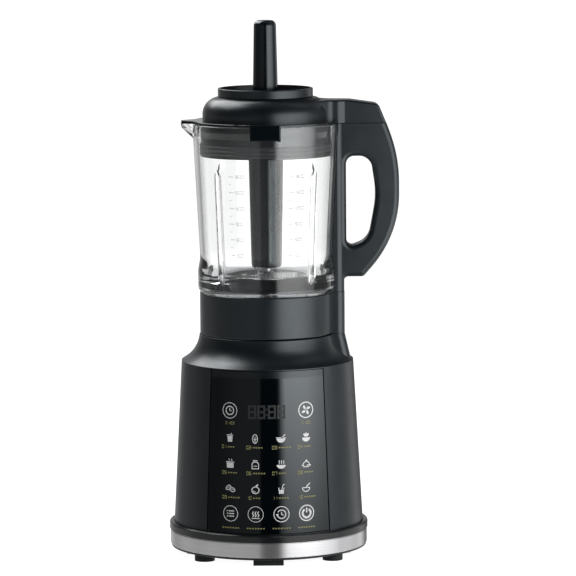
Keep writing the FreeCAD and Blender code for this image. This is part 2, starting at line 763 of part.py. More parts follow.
COLUMN_ROOT = "well_radius - 4"
column = feature(
    shoulder,
    "AdditiveLoft",
    column_plan(shoulder, "z_seat", "column_reach", "column_width", COLUMN_ROOT),
)
column.Sections = [
    column_plan(
        shoulder, "z_shoulder + 1.2", "column_reach + column_spread", "column_width + 3", COLUMN_ROOT
    )
]
column.Ruled = True
turned(
    shoulder,
    [
        ("8.9", "z_well"),
        ("well_radius", "z_well", "2"),
        ("well_radius", "z_seat + 1"),
        ("8.9", "z_seat + 1"),
    ],
    "Groove",
)
plug_pit = sketch_in(shoulder, "XY_Plane", "z_seat")
rectangle(plug_pit, "column_reach - 10.4", "column_reach - 2.4", "-9.6", "9.6")
pushed(shoulder, plug_pit, "9", "Pocket")
MOTOR_SPOTS = ringed("boss_circle", QUARTERS)
motor_bosses = sketch_in(shoulder, "XY_Plane", "z_deck")
for x, y in MOTOR_SPOTS:
    circle(motor_bosses, x, y, "boss_radius")
pushed(shoulder, motor_bosses, "boss_length", back=True)
boss_holes = sketch_in(shoulder, "XY_Plane", "z_boss")
for x, y in MOTOR_SPOTS:
    circle(boss_holes, x, y, "1.9")
pushed(shoulder, boss_holes, "0.6 * boss_length", "Pocket", back=True)

PIN_ROWS = ("-6", "0", "6")
CONTACT_REACH = ("column_reach - 8", "column_reach - 5")
CONTACT_RISE = ("z_seat - 5", "z_seat - 0.5")
keep(
    block("column_reach - 10.2", "column_reach - 2.6", "-9.4", "9.4", "z_seat - 9", "z_seat - 5"),
    "base_socket",
)
gathered(
    "socket_contacts",
    [block(*CONTACT_REACH, f"{y} - 0.5", f"{y} + 0.5", *CONTACT_RISE) for y in PIN_ROWS],
)

# Universal motor hung on rubber dampers under the well.

gathered(
    "motor_dampers",
    [
        less(
            rod("boss_radius + 1", "z_arm_top", "z_boss", x, y),
            rod("2.4", "z_arm_top", "z_boss", x, y),
        )
        for x, y in MOTOR_SPOTS
    ],
)
gathered(
    "mount_screws",
    [
        screw("3.6", "1.8", "z_arm", "bracket_thick + damper_thick + 0.52 * boss_length", x, y, "2.6")
        for x, y in MOTOR_SPOTS
    ],
)
BOLT_SPOTS = ringed("bolt_circle", DIAGONALS)


def bored(body, level, length, spots, radius):
    """Upright holes through a body from a level upwards."""
    sketch = sketch_in(body, "XY_Plane", level)
    for x, y in spots:
        circle(sketch, x, y, radius)
    return pushed(body, sketch, length, "Pocket", back=True)


def side_windows(body, low, high):
    """Four air windows through the skirt of a bracket."""
    sketch = rectangle(sketch_in(body, "XZ_Plane"), "-18", "18", low, high)
    opening = pushed(body, sketch, "2 * stack_radius + 4", "Pocket", both=True)
    return patterned(body, opening, 4)


UPPER_BEARING = "z_arm - upper_bearing_height"
LOWER_BEARING = "z_low - lower_bearing_height"
upper = body_for("motor_upper_bracket")
turned(
    upper,
    [
        ("upper_journal + 3", "z_arm_top"),
        ("boss_circle + bracket_edge", "z_arm_top", "1"),
        ("boss_circle + bracket_edge", "z_arm"),
        ("stack_radius", "z_arm"),
        ("stack_radius", "z_stack_top"),
        ("stack_radius - skirt_thick", "z_stack_top"),
        ("stack_radius - skirt_thick", "z_arm"),
        ("upper_bearing_radius + 4", "z_arm"),
        ("upper_bearing_radius + 4", UPPER_BEARING),
        ("upper_bearing_radius + press_gap", UPPER_BEARING),
        ("upper_bearing_radius + press_gap", "z_arm"),
        ("upper_journal + 3", "z_arm"),
    ],
)
side_windows(upper, "z_stack_top + 5", "z_arm - 10")
bored(upper, "z_arm - 1", "bracket_thick + 2", MOTOR_SPOTS, "2.2")
bored(upper, "z_stack_top - 1", "upper_skirt + bracket_thick + 2", BOLT_SPOTS, "2.2")

lower = body_for("motor_lower_bracket")
turned(
    lower,
    [
        ("lower_journal + 2.4", "z_low_top"),
        ("stack_radius - skirt_thick", "z_low_top"),
        ("stack_radius - skirt_thick", "z_stack"),
        ("stack_radius", "z_stack"),
        ("stack_radius", "z_low"),
        ("lower_bearing_radius + 4", "z_low"),
        ("lower_bearing_radius + 4", f"{LOWER_BEARING} - 1"),
        ("lower_bearing_radius + press_gap", f"{LOWER_BEARING} - 1"),
        ("lower_bearing_radius + press_gap", "z_low"),
        ("lower_journal + 2.4", "z_low"),
    ],
)
side_windows(lower, "z_low_top + 5", "z_stack - 5")
bored(lower, "z_low - 1", "lower_skirt + bracket_thick + 2", BOLT_SPOTS, "2.2")

stator = body_for("motor_stator")
turned(
    stator,
    [
        ("stator_bore", "z_stack"),
        ("stack_radius", "z_stack"),
        ("stack_radius", "z_stack_top"),
        ("stator_bore", "z_stack_top"),
    ],
)
slot = turned(
    stator,
    [
        ("stator_bore - 2", "z_stack - 1"),
        ("stack_radius - 8", "z_stack - 1"),
        ("stack_radius - 8", "z_stack_top + 1"),
        ("stator_bore - 2", "z_stack_top + 1"),
    ],
    "Groove",
    angle="96",
)
patterned(stator, slot, 2)
bored(stator, "z_stack - 1", "stack_length + 2", BOLT_SPOTS, "2.2")

coils = body_for("stator_coils")
loop = turned(
    coils,
    [
        ("-stator_bore - 1.5", "z_stack - 10", "2"),
        ("-stack_radius + 8.4", "z_stack - 10", "2"),
        ("-stack_radius + 8.4", "z_stack_top + 10", "2"),
        ("-stator_bore - 1.5", "z_stack_top + 10", "2"),
    ],
    role="YZ_Plane",
    angle="156",
)
patterned(coils, loop, 2)
pole = turned(
    coils,
    [
        ("-stator_bore + 1", "z_stack"),
        ("-stack_radius", "z_stack"),
        ("-stack_radius", "z_stack_top"),
        ("-stator_bore + 1", "z_stack_top"),
    ],
    "Groove",
    "YZ_Plane",
    "85",
)
patterned(coils, pole, 2)


def through_bolt(x, y):
    """A long bolt through both brackets, with its nut underneath."""
    head = rod("4", "z_arm_top", "z_arm_top + 3", x, y)
    nut = rod("4", "z_low - 3", "z_low", x, y)
    return fused([head, rod("2", "z_low - 5", "z_arm_top", x, y), nut])


gathered("motor_bolts", [through_bolt(x, y) for x, y in BOLT_SPOTS])
gathered(
    "motor_bearings",
    [
        less(
            rod("upper_bearing_radius", UPPER_BEARING, "z_arm"),
            rod("upper_journal", UPPER_BEARING, "z_arm"),
        ),
        less(
            rod("lower_bearing_radius", LOWER_BEARING, "z_low"),
            rod("lower_journal", LOWER_BEARING, "z_low"),
        ),
    ],
)


def brush_box(near, far, half, low, high, side):
    """A radial box on one side of the commutator."""
    low_x, high_x = (near, far) if side > 0 else (f"-({far})", f"-({near})")
    return block(low_x, high_x, f"-{half}", half, low, high)


HOLDER = ("commutator_radius + 1.5", "stack_radius - 9", "7", "z_low_top", "z_low_top + 18")
BRUSH_WAY = ("commutator_radius", "stack_radius", "4", "z_low_top + 4", "z_low_top + 15")
BRUSH = (
    "commutator_radius + 0.3",
    "commutator_radius + 18",
    "3.9",
    "z_low_top + 4",
    "z_low_top + 14.9",
)
gathered(
    "brush_holders",
    [less(brush_box(*HOLDER, side), brush_box(*BRUSH_WAY, side)) for side in (1, -1)],
)
gathered("carbon_brushes", [brush_box(*BRUSH, side) for side in (1, -1)])
ring_part("fan_shroud", "stack_radius + 0.3", "stack_radius + 2.7", "z_shell", "z_low + 3")

# Armature, fan and the lower half of the clutch, all turning together.

LOWER_FIT = "lower_journal - running_gap"
UPPER_FIT = "upper_journal - running_gap"
BLADE_FIT = "blade_shaft_radius - running_gap"
turned_part(
    "rotor_shaft",
    [
        ("0", "z_fan - 2"),
        (LOWER_FIT, "z_fan - 2", "0.6"),
        (LOWER_FIT, "z_low_top + 0.6"),
        ("shaft_radius", "z_low_top + 0.6"),
        ("shaft_radius", f"{UPPER_BEARING} - 1"),
        (UPPER_FIT, f"{UPPER_BEARING} - 1"),
        (UPPER_FIT, "z_socket - 0.5"),
        ("0", "z_socket - 0.5"),
    ],
)
rotor = body_for("rotor_core")
turned(
    rotor,
    [
        ("shaft_radius", "z_stack"),
        ("stator_bore - air_gap", "z_stack"),
        ("stator_bore - air_gap", "z_stack_top"),
        ("shaft_radius", "z_stack_top"),
    ],
)
slot = pushed(
    rotor,
    rectangle(
        sketch_in(rotor, "XY_Plane", "z_stack - 1"),
        "stator_bore - 10",
        "stator_bore + 1",
        "-1.4",
        "1.4",
    ),
    "stack_length + 2",
    "Pocket",
    back=True,
)
patterned(rotor, slot, 12)
windings = body_for("rotor_windings")
end_turns = sketch_in(windings, "XZ_Plane")
for low, high in (("z_stack - 8", "z_stack"), ("z_stack_top", "z_stack_top + 8")):
    outline(
        end_turns,
        [
            ("shaft_radius", low),
            ("stator_bore - 4", low, "2"),
            ("stator_bore - 4", high),
            ("shaft_radius", high),
        ],
    )
turns = feature(windings, "Revolution", end_turns)
turns.ReferenceAxis = (end_turns, ["V_Axis"])
turns.Angle = 360.0

bars = body_for("commutator")
turned(
    bars,
    [
        ("shaft_radius", "z_low_top + 2"),
        ("commutator_radius", "z_low_top + 2"),
        ("commutator_radius", "z_low_top + 18"),
        ("commutator_radius + 1.2", "z_low_top + 19"),
        ("commutator_radius + 1.2", "z_low_top + 21"),
        ("shaft_radius", "z_low_top + 21"),
    ],
)
gap = pushed(
    bars,
    rectangle(
        sketch_in(bars, "XY_Plane", "z_low_top + 1"),
        "commutator_radius - 1",
        "commutator_radius + 2",
        "-0.3",
        "0.3",
    ),
    "21",
    "Pocket",
    back=True,
)
patterned(bars, gap, 12)

fan = body_for("cooling_fan")
turned(
    fan,
    [
        (LOWER_FIT, "z_fan"),
        ("fan_hub", "z_fan"),
        ("fan_hub", "z_fan_top - 1.5"),
        ("fan_radius", "z_fan_top - 1.5"),
        ("fan_radius", "z_fan_top"),
        (LOWER_FIT, "z_fan_top"),
    ],
)
vane = pushed(
    fan,
    outline(
        sketch_in(fan, "XY_Plane", "z_fan"),
        [
            ("fan_hub - 0.5", "-0.8"),
            ("fan_radius - 1", "5.2"),
            ("fan_radius - 1.4", "6.8"),
            ("fan_hub - 0.5", "0.8"),
        ],
    ),
    "fan_height - 1",
)
patterned(fan, vane, 10)

cup = body_for("drive_coupling")
turned(
    cup,
    [
        (UPPER_FIT, "z_clutch"),
        ("clutch_radius", "z_clutch", "1"),
        ("clutch_radius", "z_clutch_top", "1"),
        ("spline_root + spline_gap", "z_clutch_top"),
        ("spline_root + spline_gap", "z_socket"),
        (UPPER_FIT, "z_socket"),
    ],
)
keyway = pushed(
    cup,
    rectangle(
        sketch_in(cup, "XY_Plane", "z_socket"),
        "spline_root - 2",
        "spline_tip + spline_gap",
        "-spline_width / 2 - spline_gap",
        "spline_width / 2 + spline_gap",
    ),
    "clutch_height",
    "Pocket",
    back=True,
)
patterned(cup, keyway, 6)

# Power inlet at the back and the power board behind the motor.

MOUTH_HALF = "inlet_width / 2 - inlet_wall"
MOUTH_RISE = "inlet_height / 2 - inlet_wall"
MOUTH_END = f"{INLET_FACE} - inlet_depth + 5"
FLANGE_HALF = "inlet_width / 2 + inlet_flange"
FLANGE_RISE = "inlet_height / 2 + inlet_flange"
inlet_body = fused(
    [
        block(
            "-inlet_width / 2",
            "inlet_width / 2",
            f"{INLET_FACE} - inlet_depth",
            INLET_FACE,
            "inlet_z - inlet_height / 2",
            "inlet_z + inlet_height / 2",
        ),
        block(
            f"-({FLANGE_HALF})",
            FLANGE_HALF,
            f"{INLET_FACE} - 10",
            chord(wall(f"inlet_z + {FLANGE_RISE}", "shell_wall + 0.1"), FLANGE_HALF),
            f"inlet_z - ({FLANGE_RISE})",
            f"inlet_z + {FLANGE_RISE}",
        ),
    ]
)
inlet_mouth = block(
    f"-({MOUTH_HALF})",
    MOUTH_HALF,
    MOUTH_END,
    f"{INLET_FACE} + 11",
    f"inlet_z - ({MOUTH_RISE})",
    f"inlet_z + {MOUTH_RISE}",
)
keep(less(inlet_body, inlet_mouth), "power_inlet")
gathered(
    "inlet_pins",
    [
        block(
            f"{x} - 1",
            f"{x} + 1",
            MOUTH_END,
            f"{INLET_FACE} - 5",
            f"inlet_z + {z} - 2",
            f"inlet_z + {z} + 2",
        )
        for x, z in (("-7", "-2"), ("0", "2"), ("7", "-2"))
    ],
)
power_board = body_for("power_board")
board = sketch_in(power_board, "XZ_Plane", "2 - (board_reach)")
rectangle(board, "-power_width / 2", "power_width / 2", POWER_LOW, POWER_HIGH)
pushed(power_board, board, "board_thick")
sink = sketch_in(power_board, "XZ_Plane", "2 - (board_reach)")
for fin in range(5):
    left = f"(0.0875 * {fin} - 0.2) * power_width"
    rectangle(sink, left, f"{left} + 0.05 * power_width", f"{POWER_LOW} + 14", f"{POWER_HIGH} - 14")
pushed(power_board, sink, "sink_depth", back=True)

# Jar collar, its bottom cover and the plug that meets the connector column.

COVER_SPOTS = ringed("well_radius - 10", THIRDS)
HANDLE_SPOTS = [("column_reach - 6.4", "-6"), ("column_reach - 6.4", "6")]

collar = body_for("jar_collar")
turned(
    collar,
    [
        ("collar_radius - collar_wall", "z_jar"),
        ("collar_radius", "z_jar", "1.4"),
        ("collar_radius", "z_collar", "0.6"),
        ("collar_radius - 3.6", "z_collar"),
        ("collar_radius - 3.6", "z_ledge"),
        ("floor_radius - 4.6", "z_ledge"),
        ("floor_radius - 4.6", "z_ledge - 3"),
        ("collar_radius - collar_wall", "z_ledge - 3"),
    ],
)
pushed(
    collar,
    column_plan(collar, "z_jar", "column_reach + 0.2", "column_width", "collar_radius - 3.4"),
    "collar_height",
)
plug_bay = sketch_in(collar, "XY_Plane", "z_jar")
rectangle(plug_bay, "column_reach - 10.8", "column_reach - 2", "-10", "10")
pushed(collar, plug_bay, "20", "Pocket", back=True)
posts = sketch_in(collar, "XY_Plane", "z_cover_top")
for x, y in COVER_SPOTS:
    circle(posts, x, y, "4.5")
pushed(collar, posts, "z_ledge - 2 - (z_cover_top)")
bored(collar, "z_cover_top", "12", COVER_SPOTS, "1.6")
bored(collar, "z_jar + 19", "collar_height", HANDLE_SPOTS, "2.2")

cover = body_for("jar_bottom_cover")
turned(
    cover,
    [
        ("clutch_radius + 4", "z_cover - 12"),
        ("clutch_radius + 6", "z_cover - 12"),
        ("clutch_radius + 6", "z_cover"),
        ("well_radius - 4.5", "z_cover"),
        ("well_radius - 4.5", "z_cover - 15"),
        ("well_radius - 2", "z_cover - 15", "0.8"),
        ("well_radius - 2", "z_cover"),
        ("collar_radius - collar_wall - 1", "z_cover"),
        ("collar_radius - collar_wall - 1", "z_cover_top"),
        ("clutch_radius + 4", "z_cover_top"),
    ],
)
bored(cover, "z_cover - 1", "5", COVER_SPOTS, "1.9")
gathered("cover_screws", [screw("3", "1.5", "z_cover", "12", x, y) for x, y in COVER_SPOTS])

plug_body = block(
    "column_reach - 10", "column_reach - 2.8", "-9", "9", "z_jar - 4.5", "z_jar + 12"
)
SLOT_REACH = ("column_reach - 8.6", "column_reach - 4.4")
plug_slots = [
    block(*SLOT_REACH, f"{y} - 1.1", f"{y} + 1.1", "z_jar - 5", "z_jar + 1")
    for y in PIN_ROWS
]
plug_ears = block("column_reach - 10.8", "column_reach - 2", "-10", "10", "z_jar + 12", "z_jar + 14")
keep(less(fused([plug_body, plug_ears]), fused(plug_slots)), "jar_plug")

# Heated floor, its seal and element, and the blade bearing.

PROBE_CIRCLE = "element_radius - element_thick - probe_radius - 2.2"
PROBE = ringed(PROBE_CIRCLE, [("-0.76604", "0.64279")])[0]
heating_plate = body_for("heating_plate")
turned(
    heating_plate,
    [
        ("floor_hole", "z_floor"),
        ("floor_radius", "z_floor", "2"),
        ("floor_radius", "z_ledge + flange_thick"),
        ("collar_radius - 4", "z_ledge + flange_thick"),
        ("collar_radius - 4", "z_ledge"),
        ("floor_radius - flange_thick", "z_ledge"),
        ("floor_radius - flange_thick", "z_floor_under", "0.5"),
        ("floor_hole", "z_floor_under"),
    ],
)
bored(heating_plate, "z_floor_under - 1", "flange_thick + 2.5", [PROBE], "probe_radius + 0.2")
ring_part("plate_seal", "floor_radius + 0.2", "collar_radius - 4", "z_ledge + flange_thick", "z_glass")

tube = doc.addObject("Part::Torus", "tube")
drive(tube, "Radius1", "element_radius")
drive(tube, "Radius2", "element_thick")
tube.Angle3 = 320.0
place(tube, "0", "0", "z_floor_under - element_thick")
terminals = [
    rod(
        "2",
        "z_floor_under - 20",
        "z_floor_under - element_thick",
        f"element_radius * cos({turn})",
        f"element_radius * sin({turn})",
    )
    for turn in ("6", "314")
]
keep(fused([tube] + terminals), "heating_element")
gathered(
    "temperature_probe",
    [
        fused(
            [
                rod("probe_radius", "z_floor_under - 10", "z_floor + 1.5", *PROBE),
                rod("probe_radius + 1", "z_floor_under - 3", "z_floor_under", *PROBE),
            ]
        )
    ],
)

BEARING_TOP = "z_floor - 6"
BEARING_DROPS = ("0", "2 * blade_bearing_height")
HOUSING_LOW = f"{BEARING_TOP} - 3 * blade_bearing_height - 2"
turned_part(
    "blade_housing",
    [
        ("blade_bearing_radius + press_gap", HOUSING_LOW),
        ("housing_radius", HOUSING_LOW),
        ("housing_radius", "z_floor"),
        ("housing_radius + 5", "z_floor"),
        ("housing_radius + 5", "z_floor + 2.5", "1.2"),
        ("8", "z_floor + 2.5"),
        ("8", "z_floor - 3"),
        ("6", "z_floor - 3"),
        ("6", BEARING_TOP),
        ("blade_bearing_radius + press_gap", BEARING_TOP),
    ],
)
nut = doc.addObject("Part::Prism", "nut")
nut.Polygon = 6
drive(nut, "Circumradius", "housing_radius + 4.5")
nut.Height = 6.0
place(nut, "0", "0", "z_floor_under - 6")
nut_hole = rod("housing_radius + press_gap", "z_floor_under - 6", "z_floor_under")
keep(less(nut, nut_hole), "housing_nut")


def blade_bearing(drop):
    """One of the two bearings inside the blade housing."""
    span = (f"{BEARING_TOP} - {drop} - blade_bearing_height", f"{BEARING_TOP} - {drop}")
    return less(rod("blade_bearing_radius", *span), rod("blade_shaft_radius", *span))


gathered("blade_bearings", [blade_bearing(drop) for drop in BEARING_DROPS])
ring_part("shaft_seal", "blade_shaft_radius + 0.05", "7.98", "z_floor - 3", "z_floor + 2")

# Glass jar: thick foot, tapering wall, drawn spout and four inner ribs.


def glass_face(z, inset="0"):
    """Outer radius of the straight glass wall at a level, less an inset."""
    return f"glass_waist_radius + (({z}) - z_glass - glass_foot_height) * glass_slope - ({inset})"


GLASS_SIDE = [
    ("glass_foot_radius - 2.4", "z_glass"),
    ("glass_foot_radius", "z_glass + 4", "2.5"),
    ("glass_foot_radius", "z_glass + glass_foot_height - 12", "8"),
    ("glass_waist_radius", "z_glass + glass_foot_height", "30"),
    ("glass_top_radius", "z_rim - rim_depth - 6", "8"),
    ("rim_radius", "z_rim - rim_depth", "4"),
    ("rim_radius", "z_rim"),
]
glass = body_for("glass_jar")
turned(
    glass,
    [("0", "z_glass")] + GLASS_SIDE[:-1] + [("rim_radius", "z_rim", "1.2"), ("0", "z_rim")],
)


def spout_ring(level, middle, radius):
    return circle(sketch_in(glass, "XY_Plane", level), middle, "0", radius)


lip = feature(glass, "AdditiveLoft", spout_ring("z_rim", "spout_radius - spout_reach", "spout_radius"))
lip.Sections = [
    spout_ring("z_rim - 4.5", "spout_radius - spout_reach + 0.6", "spout_radius - 0.6"),
    spout_ring("z_rim - spout_depth", "-glass_top_radius + 6", "5"),
]
lip.Ruled = True
turned(
    glass,
    [
        ("0", "z_glass - 1"),
        ("floor_radius + 0.6", "z_glass - 1"),
        ("floor_radius + 0.6", "z_floor + 2", "2"),
        ("glass_waist_radius - glass_wall", "z_floor + 16", "9"),
        (glass_face("z_rim - rim_depth", "glass_wall"), "z_rim - rim_depth", "20"),
        ("rim_radius - 6", "z_rim + 1"),
        ("0", "z_rim + 1"),
    ],
    "Groove",
)
channel = feature(
    glass,
    "SubtractiveLoft",
    spout_ring("z_rim + 0.5", "spout_radius - spout_reach", "spout_radius - 3.6"),
)
channel.Sections = [spout_ring("z_rim - spout_depth + 3", "-glass_top_radius + 8", "2.6")]
RIB_TOP = "z_floor + rib_height"
RIB_SINK = "rib_width / 2 - rib_depth"


def rib_ring(level, sink, radius):
    """Round section of a rib at a level, its centre sunk into the glass from the inner face."""
    middle = f"({glass_face(level, 'glass_wall')} + {sink}) * 0.70711"
    return circle(sketch_in(glass, "XY_Plane", level), middle, f"-({middle})", radius)


rib = feature(glass, "AdditiveLoft", rib_ring("z_floor + 6", RIB_SINK, "rib_width / 2"))
rib.Sections = [
    rib_ring(f"{RIB_TOP} - rib_width", RIB_SINK, "rib_width / 2"),
    rib_ring(RIB_TOP, "glass_wall / 2", "rib_width / 4"),
]
rib.Ruled = True
patterned(glass, rib, 4)

# D-shaped handle that hugs the glass, screwed down to the collar column.

TALL = "(z_handle_top - (z_handle))"
DEEP = "handle_depth"
HANDLE_ROOT = "collar_radius - 8.8"
handle = body_for("jar_handle")
grip = sketch_in(handle, "XZ_Plane")
outline(
    grip,
    [
        (HANDLE_ROOT, "z_handle"),
        ("column_reach - 0.6", "z_handle"),
        ("column_reach - 0.6", "z_handle + 14.5", "5"),
        (f"pillar_reach + 0.32 * {DEEP}", "z_handle + 14.5", "5.5"),
        ("handle_reach", f"z_handle + 0.335 * {TALL}", f"0.66 * {TALL}"),
        ("handle_reach", f"z_handle_top - 0.198 * {TALL}", f"0.85 * {TALL}"),
        ("handle_reach - 12.2", "z_handle_top"),
        (HANDLE_ROOT, "z_handle_top"),
    ],
)
outline(
    grip,
    [
        ("pillar_reach", f"z_handle_top - 0.195 * {TALL}", "8"),
        ("pillar_reach", f"z_handle + 0.26 * {TALL}", "5.5"),
        (f"pillar_reach + 0.412 * {DEEP}", f"z_handle + 0.309 * {TALL}", f"0.36 * {DEEP}"),
        (f"pillar_reach + 0.567 * {DEEP}", f"z_handle + 0.573 * {TALL}", f"0.5 * {TALL}"),
        (f"pillar_reach + 0.458 * {DEEP}", f"z_handle_top - 0.192 * {TALL}", f"0.25 * {DEEP}"),
    ],
)
pushed(handle, grip, "handle_width - 2 * grip_inset", both=True)


def on_handle_side(edge):
    """Edges along the grip's two flat faces, but not where other parts meet it."""
    box = edge.BoundBox
    half = number("handle_width / 2 - grip_inset")
    flat = box.YLength < 1e-6 and abs(abs(box.YMin) - half) < 1e-6
    inner = box.XMax < number(HANDLE_ROOT) + 1
    level = box.ZLength < 1e-6
    seams = (number("z_handle"), number("z_handle_top"))
    at_seam = level and any(abs(box.ZMin - seam) < 1e-6 for seam in seams)
    return flat and not inner and not at_seam


rounded(handle, on_handle_side, "handle_edge")
pushed(handle, column_plan(handle, "z_handle", "column_reach", "handle_width", HANDLE_ROOT), TALL)
turned(
    handle,
    [("0", "z_handle - 5")]
    + [("glass_foot_radius - 2.4 + hug_gap", "z_handle - 5")]
    + [(f"{r} + hug_gap", z) + tuple(rest) for r, z, *rest in GLASS_SIDE]
    + [("rim_radius + hug_gap", "z_rim + 5"), ("0", "z_rim + 5")],
    "Groove",
)
bored(handle, "z_handle - 1", "16", HANDLE_SPOTS, "1.7")
switch_bay = sketch_in(handle, "XY_Plane", "z_handle_top")
rectangle(switch_bay, "switch_x", "switch_x + switch_length", "-5.2", "5.2")
pushed(handle, switch_bay, "switch_depth", "Pocket")
gathered(
    "handle_screws",
    [screw("3.4", "1.5", "z_jar + 20", "collar_height - 8", x, y, "2.4") for x, y in HANDLE_SPOTS],
)
keep(
    block(
        "switch_x + 0.1",
        "switch_x + switch_length - 0.1",
        "-5.1",
        "5.1",
        "z_handle_top - switch_depth",
        "z_handle_top - 0.4",
    ),
    "lid_switch",
)

# Blade set on its own shaft, with the upper half of the clutch.

turned_part(
    "blade_shaft",
    [
        ("0", "z_socket + 4"),
        (BLADE_FIT, "z_socket + 4"),
        (BLADE_FIT, "z_floor + 3"),
        ("6", "z_floor + 3"),
        ("6", "z_hub"),
        ("3.4", "z_hub"),
        ("3.4", "z_nut_top - 0.8"),
        ("0", "z_nut_top - 0.8"),
    ],
)


def blade(label, level, tilt, heading):
    """A two-winged blade: a flat hub with wings sloping up or down from its edge."""
    made = body_for(label)
    hub = circle(circle(sketch_in(made, "XY_Plane", level), "0", "0", "10"), "0", "0", "3.42")
    pushed(made, hub, "blade_thick")
    wing_root = 8.0
    turn = FreeCAD.Rotation(FreeCAD.Vector(0, 0, 1), heading)
    slope = FreeCAD.Rotation(FreeCAD.Vector(0, 1, 0), -tilt)
    start = turn.multVec(FreeCAD.Vector(wing_root, 0, 0))
    plan = sketch_in(made, "XY_Plane")
    plan.AttachmentOffset = FreeCAD.Placement(start, turn.multiply(slope))
    drive(plan, "AttachmentOffset.Base.z", level)
    outline(
        plan,
        [
            ("0", "-5.5"),
            (f"blade_reach - {wing_root + 6}", "-5"),
            (f"blade_reach - {wing_root}", "4", "1.5"),
            (f"blade_reach - {wing_root + 12}", "6", "6"),
            ("0", "5.5"),
        ],
    )
    wing = pushed(made, plan, "blade_thick")
    patterned(made, wing, 2)
    return made


blade("lower_blade", "z_hub", -2.0, 20.0)
blade("upper_blade", "z_hub + blade_thick", 10.0, 110.0)
cap = doc.addObject("Part::Prism", "cap")
cap.Polygon = 6
cap.Circumradius = 7.0
drive(cap, "Height", "blade_nut_height - 2.3")
place(cap, "0", "0", "z_nut")
crown = rod("5.4", "z_nut", "z_nut_top")
keep(less(fused([cap, crown]), rod("3.42", "z_hub", "z_nut_top - 0.7")), "blade_nut")

star = body_for("jar_coupling")
turned(
    star,
    [
        (BLADE_FIT, "z_socket + 0.8"),
        ("spline_root", "z_socket + 0.8", "0.8"),
        ("spline_root", "z_clutch_top + 0.8"),
        ("spline_tip + 2", "z_clutch_top + 0.8"),
        ("spline_tip + 2", "z_clutch_top + 5"),
        (BLADE_FIT, "z_clutch_top + 5"),
    ],
)
tooth = pushed(
    star,
    rectangle(
        sketch_in(star, "XY_Plane", "z_socket + 0.8"),
        "spline_root - 2",
        "spline_tip",
        "-spline_width / 2",
        "spline_width / 2",
    ),
    "z_clutch_top - (z_socket)",
)
patterned(star, tooth, 6)

# Lid: skirt with seal, domed cover with the tongue over the handle, filler collar and magnet.

SKIRT_LOW = "z_rim - skirt_depth"
lid_skirt = body_for("lid_skirt")
turned(
    lid_skirt,
    [
        ("skirt_radius - 2", SKIRT_LOW),
        ("skirt_radius", SKIRT_LOW, "0.6"),
        ("skirt_radius", "z_flange"),
        ("rim_radius - flange_inset", "z_flange", "0.4"),
        ("rim_radius - flange_inset", "z_lid", "0.8"),
        ("skirt_radius - 4", "z_lid"),
        ("skirt_radius - 4", "z_lid - 2"),
        ("skirt_radius - 2", "z_lid - 2"),
    ],
)
BEAK_ROOT, BEAK_TIP = "beak_root - (rim_radius)", "beak_inset - (spout_reach)"
beak = sketch_in(lid_skirt, "XY_Plane", "z_flange")
outline(
    beak,
    [
        (BEAK_ROOT, "spout_radius + beak_spread"),
        (BEAK_TIP, "spout_radius / 3", "spout_radius / 4"),
        (BEAK_TIP, "-spout_radius / 3", "spout_radius / 4"),
        (BEAK_ROOT, "-spout_radius - beak_spread"),
    ],
)
pushed(lid_skirt, beak, "flange_height")
lug_root = sketch_in(lid_skirt, "XY_Plane", "z_flange")
rectangle(
    lug_root,
    "-lug_width / 2",
    "lug_width / 2",
    "-(lug_face)",
    f"-({chord('rim_radius - flange_inset - 2', 'lug_width / 2')})",
)
pushed(lid_skirt, lug_root, "flange_height")
lug = sketch_in(lid_skirt, "XY_Plane", "z_rim - lug_drop")
rectangle(lug, "-lug_width / 2", "lug_width / 2", "-(lug_face)", "lug_thick - (lug_face)")
pushed(lid_skirt, lug, "z_lid - (z_rim - lug_drop)")


def on_lug_face(edge):
    """Edges round the lug's front face."""
    box = edge.BoundBox
    front = -number("lug_face")
    return abs(box.YMin - front) < 1e-6 and abs(box.YMax - front) < 1e-6


rounded(lid_skirt, on_lug_face, "lug_edge")

SEAL_LOW = f"{SKIRT_LOW} + 1.5"
lips = []
for turn in range(3):
    foot_z = f"{SEAL_LOW} + {4 * turn}"
    lips += [
        ("skirt_radius + 0.5", foot_z),
        ("skirt_radius + 1.4", f"{foot_z} + 1.6"),
        ("skirt_radius + 0.5", f"{foot_z} + 3.2"),
    ]
turned_part("lid_seal", [("skirt_radius", SEAL_LOW)] + lips + [("skirt_radius", f"{SEAL_LOW} + 11.2")])

lid = body_for("lid_cover")
turned(
    lid,
    [
        ("feed_radius - 3.3", "z_lid"),
        ("lid_radius", "z_lid"),
        ("lid_radius", "z_lid_top", "dome_radius"),
        ("feed_radius - 3.3", "z_lid_top"),
    ],
)
tongue = sketch_in(lid, "XY_Plane", "z_flange")
TONGUE = "handle_width / 2 + 0.5"
SLIM_TONGUE = f"{TONGUE} - grip_inset"
half_tongue = [
    ("feed_radius + 0.7", f"{TONGUE} + tongue_spread"),
    ("lid_radius + 1", TONGUE, "8"),
    ("column_reach - 5", TONGUE, "8"),
    ("column_reach + 1", SLIM_TONGUE, "4"),
    ("handle_reach", SLIM_TONGUE),
]
outline(
    tongue,
    [(x, f"-({y})", *rest) for x, y, *rest in half_tongue] + half_tongue[::-1],
)
pushed(lid, tongue, "z_lid_top - tongue_drop - (z_flange)")
above = sketch_in(lid, "XZ_Plane")
outline(
    above,
    [
        ("handle_reach - 60", "z_lid_top + 20"),
        ("handle_reach - 60", "z_lid_top - tongue_drop + 1.5"),
        ("handle_reach - 20.5", "z_lid_top - tongue_drop - tongue_fall", "tongue_nose"),
        ("handle_reach - 12.5", "z_flange - 1"),
        ("handle_reach + 20", "z_flange - 1"),
        ("handle_reach + 20", "z_lid_top + 20"),
    ],
)
pushed(lid, above, "120", "Pocket", both=True)


